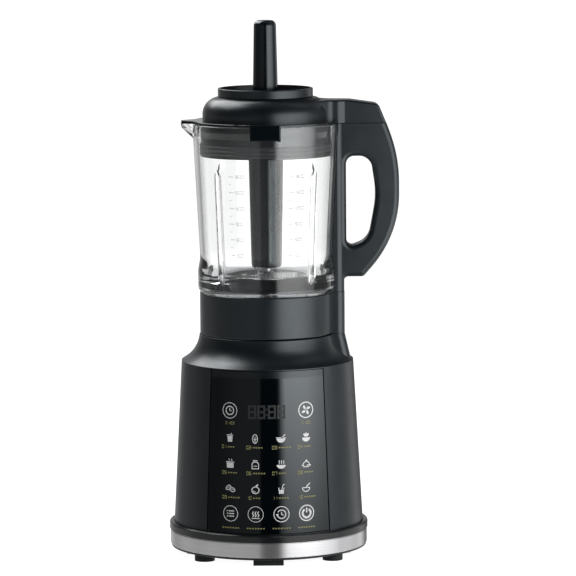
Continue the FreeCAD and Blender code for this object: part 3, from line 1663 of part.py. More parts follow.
def on_tongue_side(edge):
    """Edges along the top of the tongue's two side faces, outside the lid."""
    spot = edge.valueAt((edge.FirstParameter + edge.LastParameter) / 2)
    beyond = spot.x > number("column_reach + 2")
    high = edge.BoundBox.ZMax > number("z_flange") + 1e-6
    return beyond and high and abs(abs(spot.y) - number(SLIM_TONGUE)) < 1e-6


rounded(lid, on_tongue_side, "tongue_edge")
turned(
    lid,
    [
        ("feed_radius - 10", "z_lid - 5"),
        ("lid_radius - lid_wall", "z_lid - 5"),
        ("lid_radius - lid_wall", "z_lid_top - lid_wall", "dome_radius - lid_wall"),
        ("feed_radius - 10", "z_lid_top - lid_wall"),
    ],
    "Groove",
)
turned(
    lid,
    [
        ("lid_radius - 10", "z_flange - 1"),
        ("rim_radius + 0.1", "z_flange - 1"),
        ("rim_radius + 0.1", "z_lid"),
        ("lid_radius - 10", "z_lid"),
    ],
    "Groove",
)
MAGNET_X = "switch_x + switch_length / 2"
bored(lid, "z_flange - 1", "7", [(MAGNET_X, "0")], "magnet_radius + 0.1")
keep(rod("magnet_radius", "z_flange + 0.6", "z_flange + 6", MAGNET_X, "0"), "lid_magnet")

turned_part(
    "feed_collar",
    [
        ("feed_hole", "z_lid_top - 3.4"),
        ("feed_hole", "z_lid_top + 0.2"),
        ("feed_radius - 2.6", "z_lid_top + 0.2"),
        ("feed_radius - 2.6", "z_feed_top"),
        ("feed_radius", "z_feed_top", "0.8"),
        ("feed_radius", "z_lid_top + 0.6"),
        ("feed_radius - 0.8", "z_lid_top"),
        ("feed_radius - 3.5", "z_lid_top"),
        ("feed_radius - 3.5", "z_lid_top - 6"),
        ("feed_radius - 6", "z_lid_top - 6"),
        ("feed_radius - 6", "z_lid_top - 3.4"),
    ],
)

# Tamper: grip above a splash disc, tapering rod below it.

turned_part(
    "tamper",
    [
        ("0", "z_tamper"),
        ("tamper_tip_radius", "z_tamper", "4"),
        ("tamper_root_radius", "z_disc - 4"),
        ("tamper_root_radius", "z_disc"),
        ("tamper_disc_radius", "z_disc"),
        ("tamper_disc_radius", "z_disc_top", "1"),
        ("tamper_grip_radius", "z_disc_top", "2.5"),
        ("tamper_top_radius", "z_disc_top + tamper_grip_length", "5.5"),
        ("0", "z_disc_top + tamper_grip_length"),
    ],
)

# Build, check and write every sub-part.

doc.recompute()
for thing in doc.Objects:
    if "Invalid" in thing.State or "Error" in thing.State:
        raise RuntimeError(f"{thing.Name} ({thing.Label}) did not build: {thing.State}")
os.makedirs("parts", exist_ok=True)
for thing in SUBPARTS:
    if thing.Shape.isNull() or not thing.Shape.isValid() or not thing.Shape.Solids:
        raise RuntimeError(f"{thing.Label} has no valid solid")
    thing.Shape.exportStep(f"parts/{thing.Label}.step")
print(len(SUBPARTS), "sub-parts written")
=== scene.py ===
import math

import bpy
from mathutils import Euler, Matrix, Vector
from mathutils.geometry import tessellate_polygon


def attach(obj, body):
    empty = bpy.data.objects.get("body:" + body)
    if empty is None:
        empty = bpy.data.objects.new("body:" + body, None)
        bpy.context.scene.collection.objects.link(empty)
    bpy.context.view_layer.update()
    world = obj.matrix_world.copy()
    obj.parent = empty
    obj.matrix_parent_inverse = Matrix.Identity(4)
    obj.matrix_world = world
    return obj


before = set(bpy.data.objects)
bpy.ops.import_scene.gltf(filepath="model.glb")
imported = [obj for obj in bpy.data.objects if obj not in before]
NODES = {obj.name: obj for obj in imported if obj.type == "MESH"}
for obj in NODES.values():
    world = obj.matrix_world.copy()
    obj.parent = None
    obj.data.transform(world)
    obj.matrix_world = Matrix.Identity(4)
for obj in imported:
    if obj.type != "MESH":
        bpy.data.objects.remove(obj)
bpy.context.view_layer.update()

SCENE = bpy.context.scene
MM = 0.001


# Node helpers

# Noise keeps mostly to this range
USUAL_LOW, USUAL_HIGH = 0.3, 0.7


def worked(tree, operation, first, second):
    """A math node fed by sockets or numbers."""
    node = tree.nodes.new("ShaderNodeMath")
    node.operation = operation
    for socket, value in zip(node.inputs, (first, second)):
        if isinstance(value, (int, float)):
            socket.default_value = value
        else:
            tree.links.new(value, socket)
    return node.outputs[0]


def ramped(tree, value, start, end, low, high):
    """The value taken from start..end to low..high, held outside."""
    node = tree.nodes.new("ShaderNodeMapRange")
    for name, number in (("From Min", start), ("From Max", end), ("To Min", low), ("To Max", high)):
        node.inputs[name].default_value = number
    tree.links.new(value, node.inputs["Value"])
    return node.outputs["Result"]


def tree_for(name):
    """A new material with its node tree, its shader and its object coordinates."""
    material = bpy.data.materials.new(name)
    material.use_nodes = True
    tree = material.node_tree
    shader = tree.nodes["Principled BSDF"]
    place = tree.nodes.new("ShaderNodeTexCoord")
    return material, tree, shader, place.outputs["Object"]


def noise(tree, place, scale, stretch=(1, 1, 1), detail=4.0):
    """Noise over the piece: scale is in cells to a metre, stretch multiplies it along each axis."""
    mapping = tree.nodes.new("ShaderNodeMapping")
    mapping.inputs["Scale"].default_value = stretch
    tree.links.new(place, mapping.inputs["Vector"])
    texture = tree.nodes.new("ShaderNodeTexNoise")
    texture.inputs["Scale"].default_value = scale
    texture.inputs["Detail"].default_value = detail
    tree.links.new(mapping.outputs["Vector"], texture.inputs["Vector"])
    return texture.outputs["Fac"]


def spread(tree, value, low, high):
    """The value's usual range, taken to low and high."""
    return ramped(tree, value, USUAL_LOW, USUAL_HIGH, low, high)


def blended(tree, value, first, second):
    """A colour between two, by the value."""
    ramp = tree.nodes.new("ShaderNodeValToRGB")
    ramp.color_ramp.elements[0].position = USUAL_LOW
    ramp.color_ramp.elements[0].color = (*first, 1)
    ramp.color_ramp.elements[1].position = USUAL_HIGH
    ramp.color_ramp.elements[1].color = (*second, 1)
    tree.links.new(value, ramp.inputs["Fac"])
    return ramp.outputs["Color"]


def bumped(tree, shader, height, strength, depth):
    """Fine relief from a height value; depth is in metres."""
    bump = tree.nodes.new("ShaderNodeBump")
    bump.inputs["Strength"].default_value = strength
    bump.inputs["Distance"].default_value = depth
    tree.links.new(height, bump.inputs["Height"])
    tree.links.new(bump.outputs["Normal"], shader.inputs["Normal"])


def heightwise(tree, low, high, under, over):
    """A number that runs from under to over between two heights of the piece."""
    place = tree.nodes.new("ShaderNodeTexCoord")
    apart = tree.nodes.new("ShaderNodeSeparateXYZ")
    tree.links.new(place.outputs["Object"], apart.inputs[0])
    return ramped(tree, apart.outputs["Z"], low, high, under, over)


def crossed(tree, factor, colour, other):
    """A plain colour that gives way to another node's colour as the factor grows."""
    mix = tree.nodes.new("ShaderNodeMix")
    mix.data_type = "RGBA"
    ends = [socket for socket in mix.inputs if socket.type == "RGBA"]
    ends[0].default_value = (*colour, 1)
    tree.links.new(other, ends[1])
    tree.links.new(factor, mix.inputs["Factor"])
    return [socket for socket in mix.outputs if socket.type == "RGBA"][0]


# Materials: scales are in cells to a metre, depths and heights in metres

CLOUD_SCALE, SMEAR_SCALE = 22, 60
GRAIN_DEPTH, TOOL_LINE_DEPTH = 0.00006, 0.00003
COOL_GLOSS = (0.90, 0.97, 1.0, 1)
# Share of the smears that stays where roughness changes by height
SMEAR_SHARE = 0.12
# Scale of a wave texture whose bands are a metre apart
METRE_WAVE = 0.314
PANEL_TOP = (0.1845, 0.1855)
BEAD_FOOT = (0.0232, 0.0236)
BEAD_BLACK = (0.004, 0.005, 0.006)
# Heights of the glass foot, and the grey painted on it there as shade where it stands in the dark collar
GLASS_FOOT = (0.2655, 0.2705)
GLASS_FOOT_PAINTED_SHADE = (0.30, 0.31, 0.32)


def moulded(name, dark, light, rough, grain=1800, relief=0.25, level=0.5):
    """Moulded plastic or rubber: faint clouding, uneven gloss and a fine moulded grain."""
    material, tree, shader, place = tree_for(name)
    clouds = noise(tree, place, CLOUD_SCALE)
    tree.links.new(blended(tree, clouds, dark, light), shader.inputs["Base Color"])
    smears = noise(tree, place, SMEAR_SCALE, detail=6)
    tree.links.new(spread(tree, smears, *rough), shader.inputs["Roughness"])
    bumped(tree, shader, noise(tree, place, grain, detail=2), relief, GRAIN_DEPTH)
    shader.inputs["Specular IOR Level"].default_value = level
    shader.inputs["Specular Tint"].default_value = COOL_GLOSS
    return material


def metal(name, dark, light, rough, lines, relief=0.2, anisotropic=0.0):
    """Bare metal with tool lines: lines is the noise stretch that draws them."""
    material, tree, shader, place = tree_for(name)
    scratches = noise(tree, place, 1, lines, detail=5)
    tree.links.new(blended(tree, scratches, dark, light), shader.inputs["Base Color"])
    tree.links.new(spread(tree, scratches, *rough), shader.inputs["Roughness"])
    bumped(tree, shader, scratches, relief, TOOL_LINE_DEPTH)
    shader.inputs["Metallic"].default_value = 1.0
    if anisotropic:
        shader.inputs["Anisotropic"].default_value = anisotropic
        shader.inputs["Anisotropic Rotation"].default_value = 0.25
        tangent = tree.nodes.new("ShaderNodeTangent")
        tangent.direction_type = "RADIAL"
        tangent.axis = "Z"
        tree.links.new(tangent.outputs["Tangent"], shader.inputs["Tangent"])
    return material


def by_height(material, low, high, under, over):
    """Roughness that changes from under to over between two heights, with the same smears on both."""
    tree = material.node_tree
    shader = tree.nodes["Principled BSDF"]
    smears = shader.inputs["Roughness"].links[0].from_socket
    vary = tree.nodes.new("ShaderNodeMath")
    vary.operation = "MULTIPLY_ADD"
    tree.links.new(smears, vary.inputs[0])
    vary.inputs[1].default_value = SMEAR_SHARE
    tree.links.new(heightwise(tree, low, high, under, over), vary.inputs[2])
    tree.links.new(vary.outputs[0], shader.inputs["Roughness"])


def blackened_above(material, low, high):
    """Bare metal that is black moulding above a height of the piece."""
    tree = material.node_tree
    shader = tree.nodes["Principled BSDF"]
    bare = shader.inputs["Base Color"].links[0].from_socket
    share = heightwise(tree, low, high, 1, 0)
    tree.links.new(share, shader.inputs["Metallic"])
    tree.links.new(crossed(tree, share, BEAD_BLACK, bare), shader.inputs["Base Color"])


def layered(name, dark, light, rough, metallic, pitch):
    """Stacked sheets or wound wire: level bands of the given pitch in metres."""
    material, tree, shader, place = tree_for(name)
    wave = tree.nodes.new("ShaderNodeTexWave")
    wave.bands_direction = "Z"
    wave.inputs["Scale"].default_value = METRE_WAVE / pitch
    wave.inputs["Distortion"].default_value = 0.4
    tree.links.new(place, wave.inputs["Vector"])
    tree.links.new(blended(tree, wave.outputs["Fac"], dark, light), shader.inputs["Base Color"])
    tree.links.new(spread(tree, noise(tree, place, 300), *rough), shader.inputs["Roughness"])
    bumped(tree, shader, wave.outputs["Fac"], 0.6, 0.0002)
    shader.inputs["Metallic"].default_value = metallic
    return material


def clear_glass(name):
    """Thick pressed glass with the slight waviness of its mould; its foot, where it stands in the collar, is
    painted grey as shade.
    """
    material, tree, shader, place = tree_for(name)
    tint = noise(tree, place, 14)
    clear = blended(tree, tint, (0.97, 0.98, 0.98), (0.99, 0.995, 0.99))
    # Painted shade: below these heights the glass turns grey
    foot = heightwise(tree, *GLASS_FOOT, 0, 1)
    tree.links.new(crossed(tree, foot, GLASS_FOOT_PAINTED_SHADE, clear), shader.inputs["Base Color"])
    tree.links.new(spread(tree, noise(tree, place, 40), 0.0, 0.02), shader.inputs["Roughness"])
    bumped(tree, shader, noise(tree, place, 45, (1, 1, 0.5), detail=1), 0.05, 0.0012)
    shader.inputs["Transmission Weight"].default_value = 1.0
    shader.inputs["IOR"].default_value = 1.48
    return material


def board(name):
    """Circuit board laminate with tracks under its lacquer."""
    material, tree, shader, place = tree_for(name)
    tracks = tree.nodes.new("ShaderNodeTexBrick")
    tracks.inputs["Scale"].default_value = 90
    tracks.inputs["Mortar Size"].default_value = 0.03
    tracks.inputs["Color1"].default_value = (0.012, 0.09, 0.035, 1)
    tracks.inputs["Color2"].default_value = (0.016, 0.12, 0.045, 1)
    tracks.inputs["Mortar"].default_value = (0.05, 0.2, 0.08, 1)
    turn = tree.nodes.new("ShaderNodeMapping")
    turn.inputs["Rotation"].default_value = (math.pi / 2, 0, 0)
    tree.links.new(place, turn.inputs["Vector"])
    tree.links.new(turn.outputs["Vector"], tracks.inputs["Vector"])
    tree.links.new(tracks.outputs["Color"], shader.inputs["Base Color"])
    tree.links.new(spread(tree, noise(tree, place, 200), 0.25, 0.4), shader.inputs["Roughness"])
    bumped(tree, shader, tracks.outputs["Fac"], 0.4, 0.00005)
    return material


def printed(name, dark, light):
    """Screen-printed ink: slightly uneven cover, matt."""
    material, tree, shader, place = tree_for(name)
    cover = noise(tree, place, 900)
    tree.links.new(blended(tree, cover, dark, light), shader.inputs["Base Color"])
    tree.links.new(spread(tree, cover, 0.45, 0.6), shader.inputs["Roughness"])
    bumped(tree, shader, noise(tree, place, 4000), 0.1, 0.00002)
    return material


SATIN = moulded("satin_moulding", (0.0020, 0.0042, 0.0062), (0.0030, 0.0056, 0.0078), (0.30, 0.36))
TAMPER = moulded("tamper_moulding", (0.0022, 0.0040, 0.0056), (0.0032, 0.0054, 0.0072), (0.14, 0.20), relief=0.02)
PANEL = moulded("panel_lens", (0.0010, 0.0020, 0.0028), (0.0015, 0.0027, 0.0037), (0.02, 0.05), 300, 0.01)
by_height(PANEL, *PANEL_TOP, 0.03, 0.26)
SKIRT = moulded("lid_moulding", (0.0024, 0.0042, 0.0058), (0.0034, 0.0056, 0.0074), (0.05, 0.09), relief=0.03)
RUBBER = moulded("rubber", (0.010, 0.010, 0.010), (0.016, 0.016, 0.016), (0.6, 0.75), 1200, 0.5, 0.3)
SEAL = moulded("silicone", (0.012, 0.0135, 0.015), (0.018, 0.0195, 0.021), (0.4, 0.5), 900, 0.2)
CARBON = moulded("carbon", (0.02, 0.02, 0.02), (0.03, 0.03, 0.03), (0.5, 0.7), 2500, 0.5)
BAND = metal("band_steel", (0.58, 0.58, 0.59), (0.66, 0.66, 0.67), (0.40, 0.46), (6, 6, 2600), 0.05, 1.0)
by_height(BAND, *BEAD_FOOT, 0.26, 0.24)
blackened_above(BAND, *BEAD_FOOT)
# The heating plate's near-black colour is painted reflection: it stands in for the dark parts above that the
# plate mirrors
PLATE = moulded("plate_painted_reflection", (0.0026, 0.0032, 0.0038), (0.0042, 0.0050, 0.0056), (0.28, 0.38), 700, level=0.25)
STEEL = metal("turned_steel", (0.48, 0.48, 0.49), (0.60, 0.60, 0.61), (0.22, 0.34), (40, 40, 1500))
SHEET = metal("pressed_steel", (0.42, 0.42, 0.43), (0.52, 0.52, 0.53), (0.20, 0.32), (900, 30, 30))
ZINC = metal("zinc_plate", (0.45, 0.46, 0.46), (0.58, 0.58, 0.56), (0.3, 0.45), (300, 300, 300))
ALLOY = metal("cast_alloy", (0.42, 0.43, 0.44), (0.52, 0.53, 0.54), (0.45, 0.6), (700, 700, 700), 0.5)
BRASS = metal("contact_brass", (0.62, 0.46, 0.20), (0.72, 0.56, 0.28), (0.22, 0.35), (200, 200, 900))
SHEATH = metal("element_sheath", (0.16, 0.15, 0.15), (0.24, 0.23, 0.22), (0.4, 0.55), (250, 250, 250), 0.4)
IRON = layered("laminations", (0.10, 0.10, 0.11), (0.24, 0.24, 0.25), (0.45, 0.6), 0.8, 0.0009)
COPPER = layered("wound_copper", (0.30, 0.11, 0.05), (0.62, 0.27, 0.13), (0.25, 0.4), 0.9, 0.0012)
GLASS = clear_glass("jar_glass")
BOARD = board("board_laminate")
INK = printed("white_ink", (0.62, 0.63, 0.63), (0.72, 0.73, 0.73))
OLIVE = printed("olive_ink", (0.190, 0.182, 0.070), (0.240, 0.230, 0.095))
FAINT = printed("faint_ink", (0.008, 0.0095, 0.0105), (0.011, 0.0125, 0.0135))
SCALE_INK = printed("scale_ink", (0.52, 0.53, 0.54), (0.60, 0.61, 0.62))
# A darker copy of the scale ink: painted shade that offsets the brighter light on the right-hand scale
SCALE_INK_PAINTED_SHADE = printed("scale_ink_painted_shade", (0.22, 0.23, 0.23), (0.27, 0.28, 0.28))

FINISH = {
    SATIN: "jar_collar jar_handle jar_bottom_cover base_plate feed_collar power_inlet base_socket"
    " jar_plug fan_shroud cooling_fan brush_holders display_module lid_switch jar_coupling drive_coupling"
    " base_shell shoulder_cover lid_cover",
    SKIRT: "lid_skirt",
    TAMPER: "tamper",
    PANEL: "control_panel",
    BAND: "trim_ring",
    STEEL: "blade_housing housing_nut blade_bearings blade_shaft blade_nut rotor_shaft motor_bearings"
    " temperature_probe",
    PLATE: "heating_plate",
    SHEET: "lower_blade upper_blade",
    ZINC: "base_screws mount_screws motor_bolts cover_screws handle_screws lid_magnet",
    RUBBER: "round_feet front_foot motor_dampers shaft_seal",
    SEAL: "plate_seal lid_seal",
    GLASS: "glass_jar",
    BOARD: "panel_board power_board",
    COPPER: "stator_coils rotor_windings commutator",
    BRASS: "socket_contacts inlet_pins",
    ALLOY: "motor_upper_bracket motor_lower_bracket",
    IRON: "motor_stator rotor_core",
    SHEATH: "heating_element",
    CARBON: "carbon_brushes",
}
for finish, names in FINISH.items():
    for name in names.split():
        NODES[name].data.materials.clear()
        NODES[name].data.materials.append(finish)


# Printed marks: thin closed meshes that follow the face that carries them


class Print:
    """Marks drawn in millimetres on a curved face; wrap takes (across, up, out) to a point."""

    def __init__(self, wrap, low=-0.05, high=0.10):
        self.wrap = wrap
        self.low = low
        self.high = high
        self.points = []
        self.faces = []

    def layer(self, flat):
        """The same outline under and over the face; gives the two runs of point numbers."""
        runs = []
        for out in (self.low, self.high):
            start = len(self.points)
            self.points += [self.wrap(x, y, out) for x, y in flat]
            runs.append(list(range(start, start + len(flat))))
        return runs

    def fill(self, flat):
        """A filled outline, corners in anticlockwise order."""
        under, over = self.layer(flat)
        for a, b, c in tessellate_polygon([[Vector((x, y, 0)) for x, y in flat]]):
            (ax, ay), (bx, by), (cx, cy) = flat[a], flat[b], flat[c]
            if (bx - ax) * (cy - ay) - (by - ay) * (cx - ax) < 0:
                b, c = c, b
            self.faces.append((over[a], over[b], over[c]))
            self.faces.append((under[c], under[b], under[a]))
        for i in range(len(flat)):
            j = (i + 1) % len(flat)
            self.faces.append((under[i], under[j], over[j], over[i]))

    def line(self, path, width, closed=False):
        """A drawn line of even width along a path, its corners mitred."""
        count = len(path)
        left, right = [], []
        for i in range(count):
            here = Vector(path[i])
            back = Vector(path[i - 1]) if closed or i else None
            ahead = Vector(path[(i + 1) % count]) if closed or i < count - 1 else None
            into = (here - back).normalized() if back else (ahead - here).normalized()
            onward = (ahead - here).normalized() if ahead else into
            across = Vector((-(into.y + onward.y), into.x + onward.x)).normalized()
            reach = width / 2 / max(0.5, across.dot(Vector((-into.y, into.x))))
            left.append(tuple(here + across * reach))
            right.append(tuple(here - across * reach))
        under_left, over_left = self.layer(left)
        under_right, over_right = self.layer(right)
        for i in range(count if closed else count - 1):
            j = (i + 1) % count
            self.faces.append((over_right[i], over_right[j], over_left[j], over_left[i]))
            self.faces.append((under_left[i], under_left[j], under_right[j], under_right[i]))
            self.faces.append((over_left[i], over_left[j], under_left[j], under_left[i]))
            self.faces.append((under_right[i], under_right[j], over_right[j], over_right[i]))
        if not closed:
            self.faces.append((over_right[0], over_left[0], under_left[0], under_right[0]))
            self.faces.append((over_left[-1], over_right[-1], under_right[-1], under_left[-1]))

    def piece(self, name, material, body):
        """The finished marks as one object."""
        mesh = bpy.data.meshes.new(name)
        mesh.from_pydata(self.points, [], self.faces)
        mesh.materials.append(material)
        made = bpy.data.objects.new(name, mesh)
        SCENE.collection.objects.link(made)
        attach(made, body)


def arc(x, y, radius, start=0, end=360, tall=None, steps=None):
    """Points along an arc, angles in degrees anticlockwise; a full turn isn't closed twice."""
    tall = radius if tall is None else tall
    steps = steps or max(6, int(abs(end - start) / 12))
    last = steps if abs(end - start) < 360 else steps - 1
    turns = [math.radians(start + (end - start) * i / steps) for i in range(last + 1)]
    return [(x + radius * math.cos(t), y + tall * math.sin(t)) for t in turns]


def disc(marks, x, y, radius):
    marks.fill(arc(x, y, radius, steps=20))


def ring(marks, x, y, radius, width):
    marks.line(arc(x, y, radius, steps=40), width, True)


def turned(points, angle, x=0.0, y=0.0):
    """Points turned about the origin by an angle in degrees, then moved."""
    c, s = math.cos(math.radians(angle)), math.sin(math.radians(angle))
    return [(x + c * px - s * py, y + s * px + c * py) for px, py in points]


SEGMENTS = {
    "0": "abcdef",
    "1": "bc",
    "2": "abged",
    "3": "abgcd",
    "4": "fgbc",
    "5": "afgcd",
    "6": "afgedc",
    "7": "abc",
    "8": "abcdefg",
    "9": "abcdfg",
}


def digit(marks, figure, x, y, wide, tall, width):
    """One figure built of straight segments, its lower left corner at x, y."""
    half = tall / 2
    ends = {
        "a": ((0, tall), (wide, tall)),
        "b": ((wide, half), (wide, tall)),
        "c": ((wide, 0), (wide, half)),
        "d": ((0, 0), (wide, 0)),
        "e": ((0, 0), (0, half)),
        "f": ((0, half), (0, tall)),
        "g": ((0, half), (wide, half)),
    }
    for segment in SEGMENTS[figure]:
        trim = width * (-0.5 if segment in "adg" else 0.52)
        (ax, ay), (bx, by) = ends[segment]
        run = Vector((bx - ax, by - ay)).normalized() * trim
        marks.line([(x + ax + run.x, y + ay + run.y), (x + bx - run.x, y + by - run.y)], width)


def figures(marks, text, x, y, wide, tall, width, pitch):
    """A row of figures, centred on x."""
    left = x - (len(text) * pitch - (pitch - wide)) / 2
    for i, figure in enumerate(text):
        digit(marks, figure, left + i * pitch, y, wide, tall, width)


# Control panel: its face is a cone about the drive axis

PANEL_LOW_RADIUS, PANEL_LOW = 94.5, 31.0
PANEL_SLOPE = 0.0538


def on_panel(across, up, out):
    """A point of the panel's face from the distance round it and the height."""
    radius = PANEL_LOW_RADIUS - (up - PANEL_LOW) * PANEL_SLOPE
    turn = across / radius
    radius += out
    return (radius * math.sin(turn) * MM, -radius * math.cos(turn) * MM, up * MM)


COLUMNS = (-38.2, -12.4, 13.2, 39.0)
PROGRAM_ROWS = (125.9, 100.5, 76.1)
TOP_ROW, BOTTOM_ROW = 153.2, 51.5
KEY_RADIUS = 7.6
symbols = Print(on_panel)
numbers = Print(on_panel)
display = Print(on_panel)


def tumbler(m, x, y):
    m.fill([(x - 2.2, y - 3.6), (x + 2.2, y - 3.6), (x + 2.9, y + 2.2), (x - 2.9, y + 2.2)])
    m.line([(x - 3.3, y + 3.1), (x + 3.3, y + 3.1)], 0.8)
    m.line([(x + 0.6, y + 3.4), (x + 1.8, y + 5.0)], 0.7)


def leaf(m, x, y):
    m.line(arc(x, y, 2.4, 0, 360, 4.4, 24), 0.7, True)
    m.line([(x, y - 4.2), (x, y + 2.2)], 0.6)
    for side in (-1, 1):
        m.line([(x, y - 1.6), (x + 1.5 * side, y + 0.4)], 0.5)


def bowl(m, x, y):
    m.fill(arc(x, y + 0.4, 4.4, 180, 360, 4.2, 16))
    m.line([(x - 4.9, y + 1.1), (x + 4.9, y + 1.1)], 0.7)
    m.line([(x + 1.2, y + 1.6), (x + 4.4, y + 4.4)], 0.8)


def salad(m, x, y):
    m.fill(arc(x, y, 4.2, 180, 360, 4.0, 16))
    for lean in (-28, 0, 28):
        m.fill(turned(arc(0, 3.6, 0.9, 0, 360, 2.0, 12), lean, x, y - 0.6))


def pot(m, x, y):
    m.fill([(x - 3.6, y - 3.8), (x + 3.6, y - 3.8), (x + 3.6, y + 1.2), (x - 3.6, y + 1.2)])
    m.line([(x - 4.4, y + 2.0), (x + 4.4, y + 2.0)], 0.8)
    for step in (-1.4, 1.4):
        m.line([(x + step, y + 3.0), (x + step + 0.7, y + 4.0), (x + step, y + 5.0)], 0.55)


def jar(m, x, y):
    outline = ((-3.2, -4.0), (3.2, -4.0), (3.2, 1.0), (1.8, 2.6), (-1.8, 2.6), (-3.2, 1.0))
    m.line([(x + across, y + up) for across, up in outline], 0.8, True)
    m.line([(x - 2.1, y + 4.0), (x + 2.1, y + 4.0)], 0.9)
    m.line([(x - 1.6, y - 1.4), (x + 1.6, y - 1.4)], 0.6)


def hot_bowl(m, x, y):
    m.fill(arc(x, y - 0.4, 4.4, 180, 360, 3.6, 16))
    for step in (-2.2, 0, 2.2):
        path = [(x + step, y + 0.5), (x + step + 0.7, y + 1.8), (x + step, y + 3.0), (x + step + 0.7, y + 4.3)]
        m.line(path, 0.65)


def dish(m, x, y):
    m.line(arc(x, y - 1.6, 3.4, 0, 180, 3.4, 16), 0.8)
    m.line([(x - 5.0, y - 2.0), (x + 5.0, y - 2.0)], 0.9)
    m.line([(x - 3.2, y - 3.4), (x + 3.2, y - 3.4)], 0.8)
    disc(m, x, y + 2.8, 0.9)


def beans(m, x, y):
    for lean, dx, dy in ((35, -2.0, 1.0), (-20, 2.0, -0.9)):
        m.line(turned(arc(0, 0, 2.9, 0, 360, 1.9, 24), lean, x + dx, y + dy), 0.75, True)
        m.line(turned([(-1.6, 0.0), (1.6, 0.3)], lean, x + dx, y + dy), 0.6)


def fruit(m, x, y):
    m.line(arc(x, y - 0.8, 3.6, 0, 360, 3.3, 28), 0.85, True)
    m.fill(turned(arc(1.8, 0, 1.9, 0, 360, 0.8, 14), 40, x, y + 2.6))
    m.line(arc(x, y - 0.8, 2.0, 190, 280, 1.8, 8), 0.6)


def straw_glass(m, x, y):
    m.line([(x - 2.6, y + 1.6), (x - 1.9, y - 4.0), (x + 1.9, y - 4.0), (x + 2.6, y + 1.6)], 0.8)
    m.fill([(x - 2.0, y - 3.4), (x + 2.0, y - 3.4), (x + 2.2, y - 0.6), (x - 2.2, y - 0.6)])
    m.line([(x + 0.3, y - 0.4), (x + 1.8, y + 4.4), (x + 3.4, y + 4.8)], 0.7)


def mortar(m, x, y):
    m.line(arc(x - 0.4, y + 0.2, 3.8, 180, 360, 3.6, 16), 0.85)
    m.line([(x - 4.6, y + 0.4), (x + 3.8, y + 0.4)], 0.7)
    m.line([(x - 0.4, y + 1.0), (x + 3.8, y + 4.8)], 1.1)


PROGRAMS = (
    (tumbler, leaf, bowl, salad),
    (pot, jar, hot_bowl, dish),
    (beans, fruit, straw_glass, mortar),
)


def clock(m, x, y):
    ring(m, x, y, 4.1, 0.9)
    m.line([(x, y + 2.4), (x, y - 0.2), (x + 1.9, y - 0.2)], 0.75)


def fan(m, x, y):
    for quarter in range(4):
        m.fill(turned(arc(3.0, 0.7, 2.1, 0, 360, 1.2, 16), 90 * quarter + 20, x, y))
    disc(m, x, y, 0.6)


def bars(m, x, y):
    for level in (-2.6, 0, 2.6):
        disc(m, x - 3.4, y + level, 0.6)
        m.line([(x - 1.9, y + level), (x + 3.8, y + level)], 1.0)


def heat(m, x, y):
    wave = ((-0.5, -2.6), (0.6, -1.0), (-0.6, 1.0), (0.5, 2.8))
    for step in (-2.6, 0, 2.6):
        m.line([(x + step + across, y + up) for across, up in wave], 0.95)
    m.line([(x - 4.0, y - 4.0), (x + 4.0, y - 4.0)], 0.85)


def timer(m, x, y):
    m.line(arc(x, y, 4.2, 205, 510, steps=28), 0.95)
    m.fill([(x - 4.2, y - 2.4), (x - 2.5, y + 0.2), (x - 5.9, y + 0.2)])
    m.line([(x, y + 2.3), (x, y - 0.2), (x + 1.9, y - 0.9)], 0.75)


def power(m, x, y):
    m.line(arc(x, y - 0.2, 4.3, 122, 418, steps=30), 2.0)
    m.line([(x, y + 0.4), (x, y + 5.2)], 1.4)


for level, row in zip(PROGRAM_ROWS, PROGRAMS):
    for across, draw in zip(COLUMNS, row):
        draw(symbols, across, level)
for across, draw, weight in ((COLUMNS[0], clock, 0.6), (COLUMNS[3], fan, 1.1)):
    ring(symbols, across, TOP_ROW, KEY_RADIUS, weight)
    draw(symbols, across, TOP_ROW)
for across, draw, weight in zip(COLUMNS, (bars, heat, timer, power), (0.65, 0.55, 0.8, 1.1)):
    ring(symbols, across, BOTTOM_ROW, KEY_RADIUS, weight)
    draw(symbols, across, BOTTOM_ROW)

# Labels: a number and dashes under each program, dashes under the bottom row, a figure row under the top one

PROGRAM_DROP, NUMBER_SHIFT = 8.6, 6.5
DASH, DASH_WIDTH = 1.8, 1.3
BOTTOM_LABELS, TOP_LABELS = 37.5, 139.6
DISPLAY_LOW = 146.6
# Width, height, stroke and pitch of the figures
PROGRAM_FIGURES = (1.5, 3.0, 0.65, 2.7)
TOP_FIGURES = (1.3, 2.6, 0.5, 2.5)
DISPLAY_FIGURES = (6.0, 11.4, 2.0, 9.2)


def dashes(left, level, count, pitch):
    """A row of dashes that stands for a word."""
    for step in range(count):
        start = left + pitch * step
        numbers.line([(start, level), (start + DASH, level)], DASH_WIDTH)


for row, level in enumerate(PROGRAM_ROWS):
    for column, across in enumerate(COLUMNS):
        number = f"{row * len(COLUMNS) + column + 1:02d}"
        label = level - PROGRAM_DROP
        figures(numbers, number, across - NUMBER_SHIFT, label - PROGRAM_FIGURES[1] / 2, *PROGRAM_FIGURES)
        dashes(across - 2.4, label, 3 + (row + column) % 3, 2.6)
for across in (COLUMNS[0], COLUMNS[3]):
    figures(numbers, "0123", across, TOP_LABELS, *TOP_FIGURES)
for across in COLUMNS:
    dashes(across - 9.0, BOTTOM_LABELS, 7, 2.7)

for middle in (-10.6, 9.0):
    figures(display, "88", middle, DISPLAY_LOW, *DISPLAY_FIGURES)
for level in (149.6, 155.0):
    disc(display, -0.8, level, 0.8)

symbols.piece("panel_symbols", INK, "base")
numbers.piece("panel_numbers", OLIVE, "base")
display.piece("panel_display_figures", FAINT, "base")


# Scale on the glass

WAIST_RADIUS, WAIST, FLARE = 66.4, 296.0, 0.0506


def on_glass(turn, up, out):
    """A point of the glass's outer face from the direction in degrees off the front and the height."""
    radius = WAIST_RADIUS + (up - WAIST) * FLARE + out
    return (radius * math.sin(math.radians(turn)) * MM, -radius * math.cos(math.radians(turn)) * MM, up * MM)


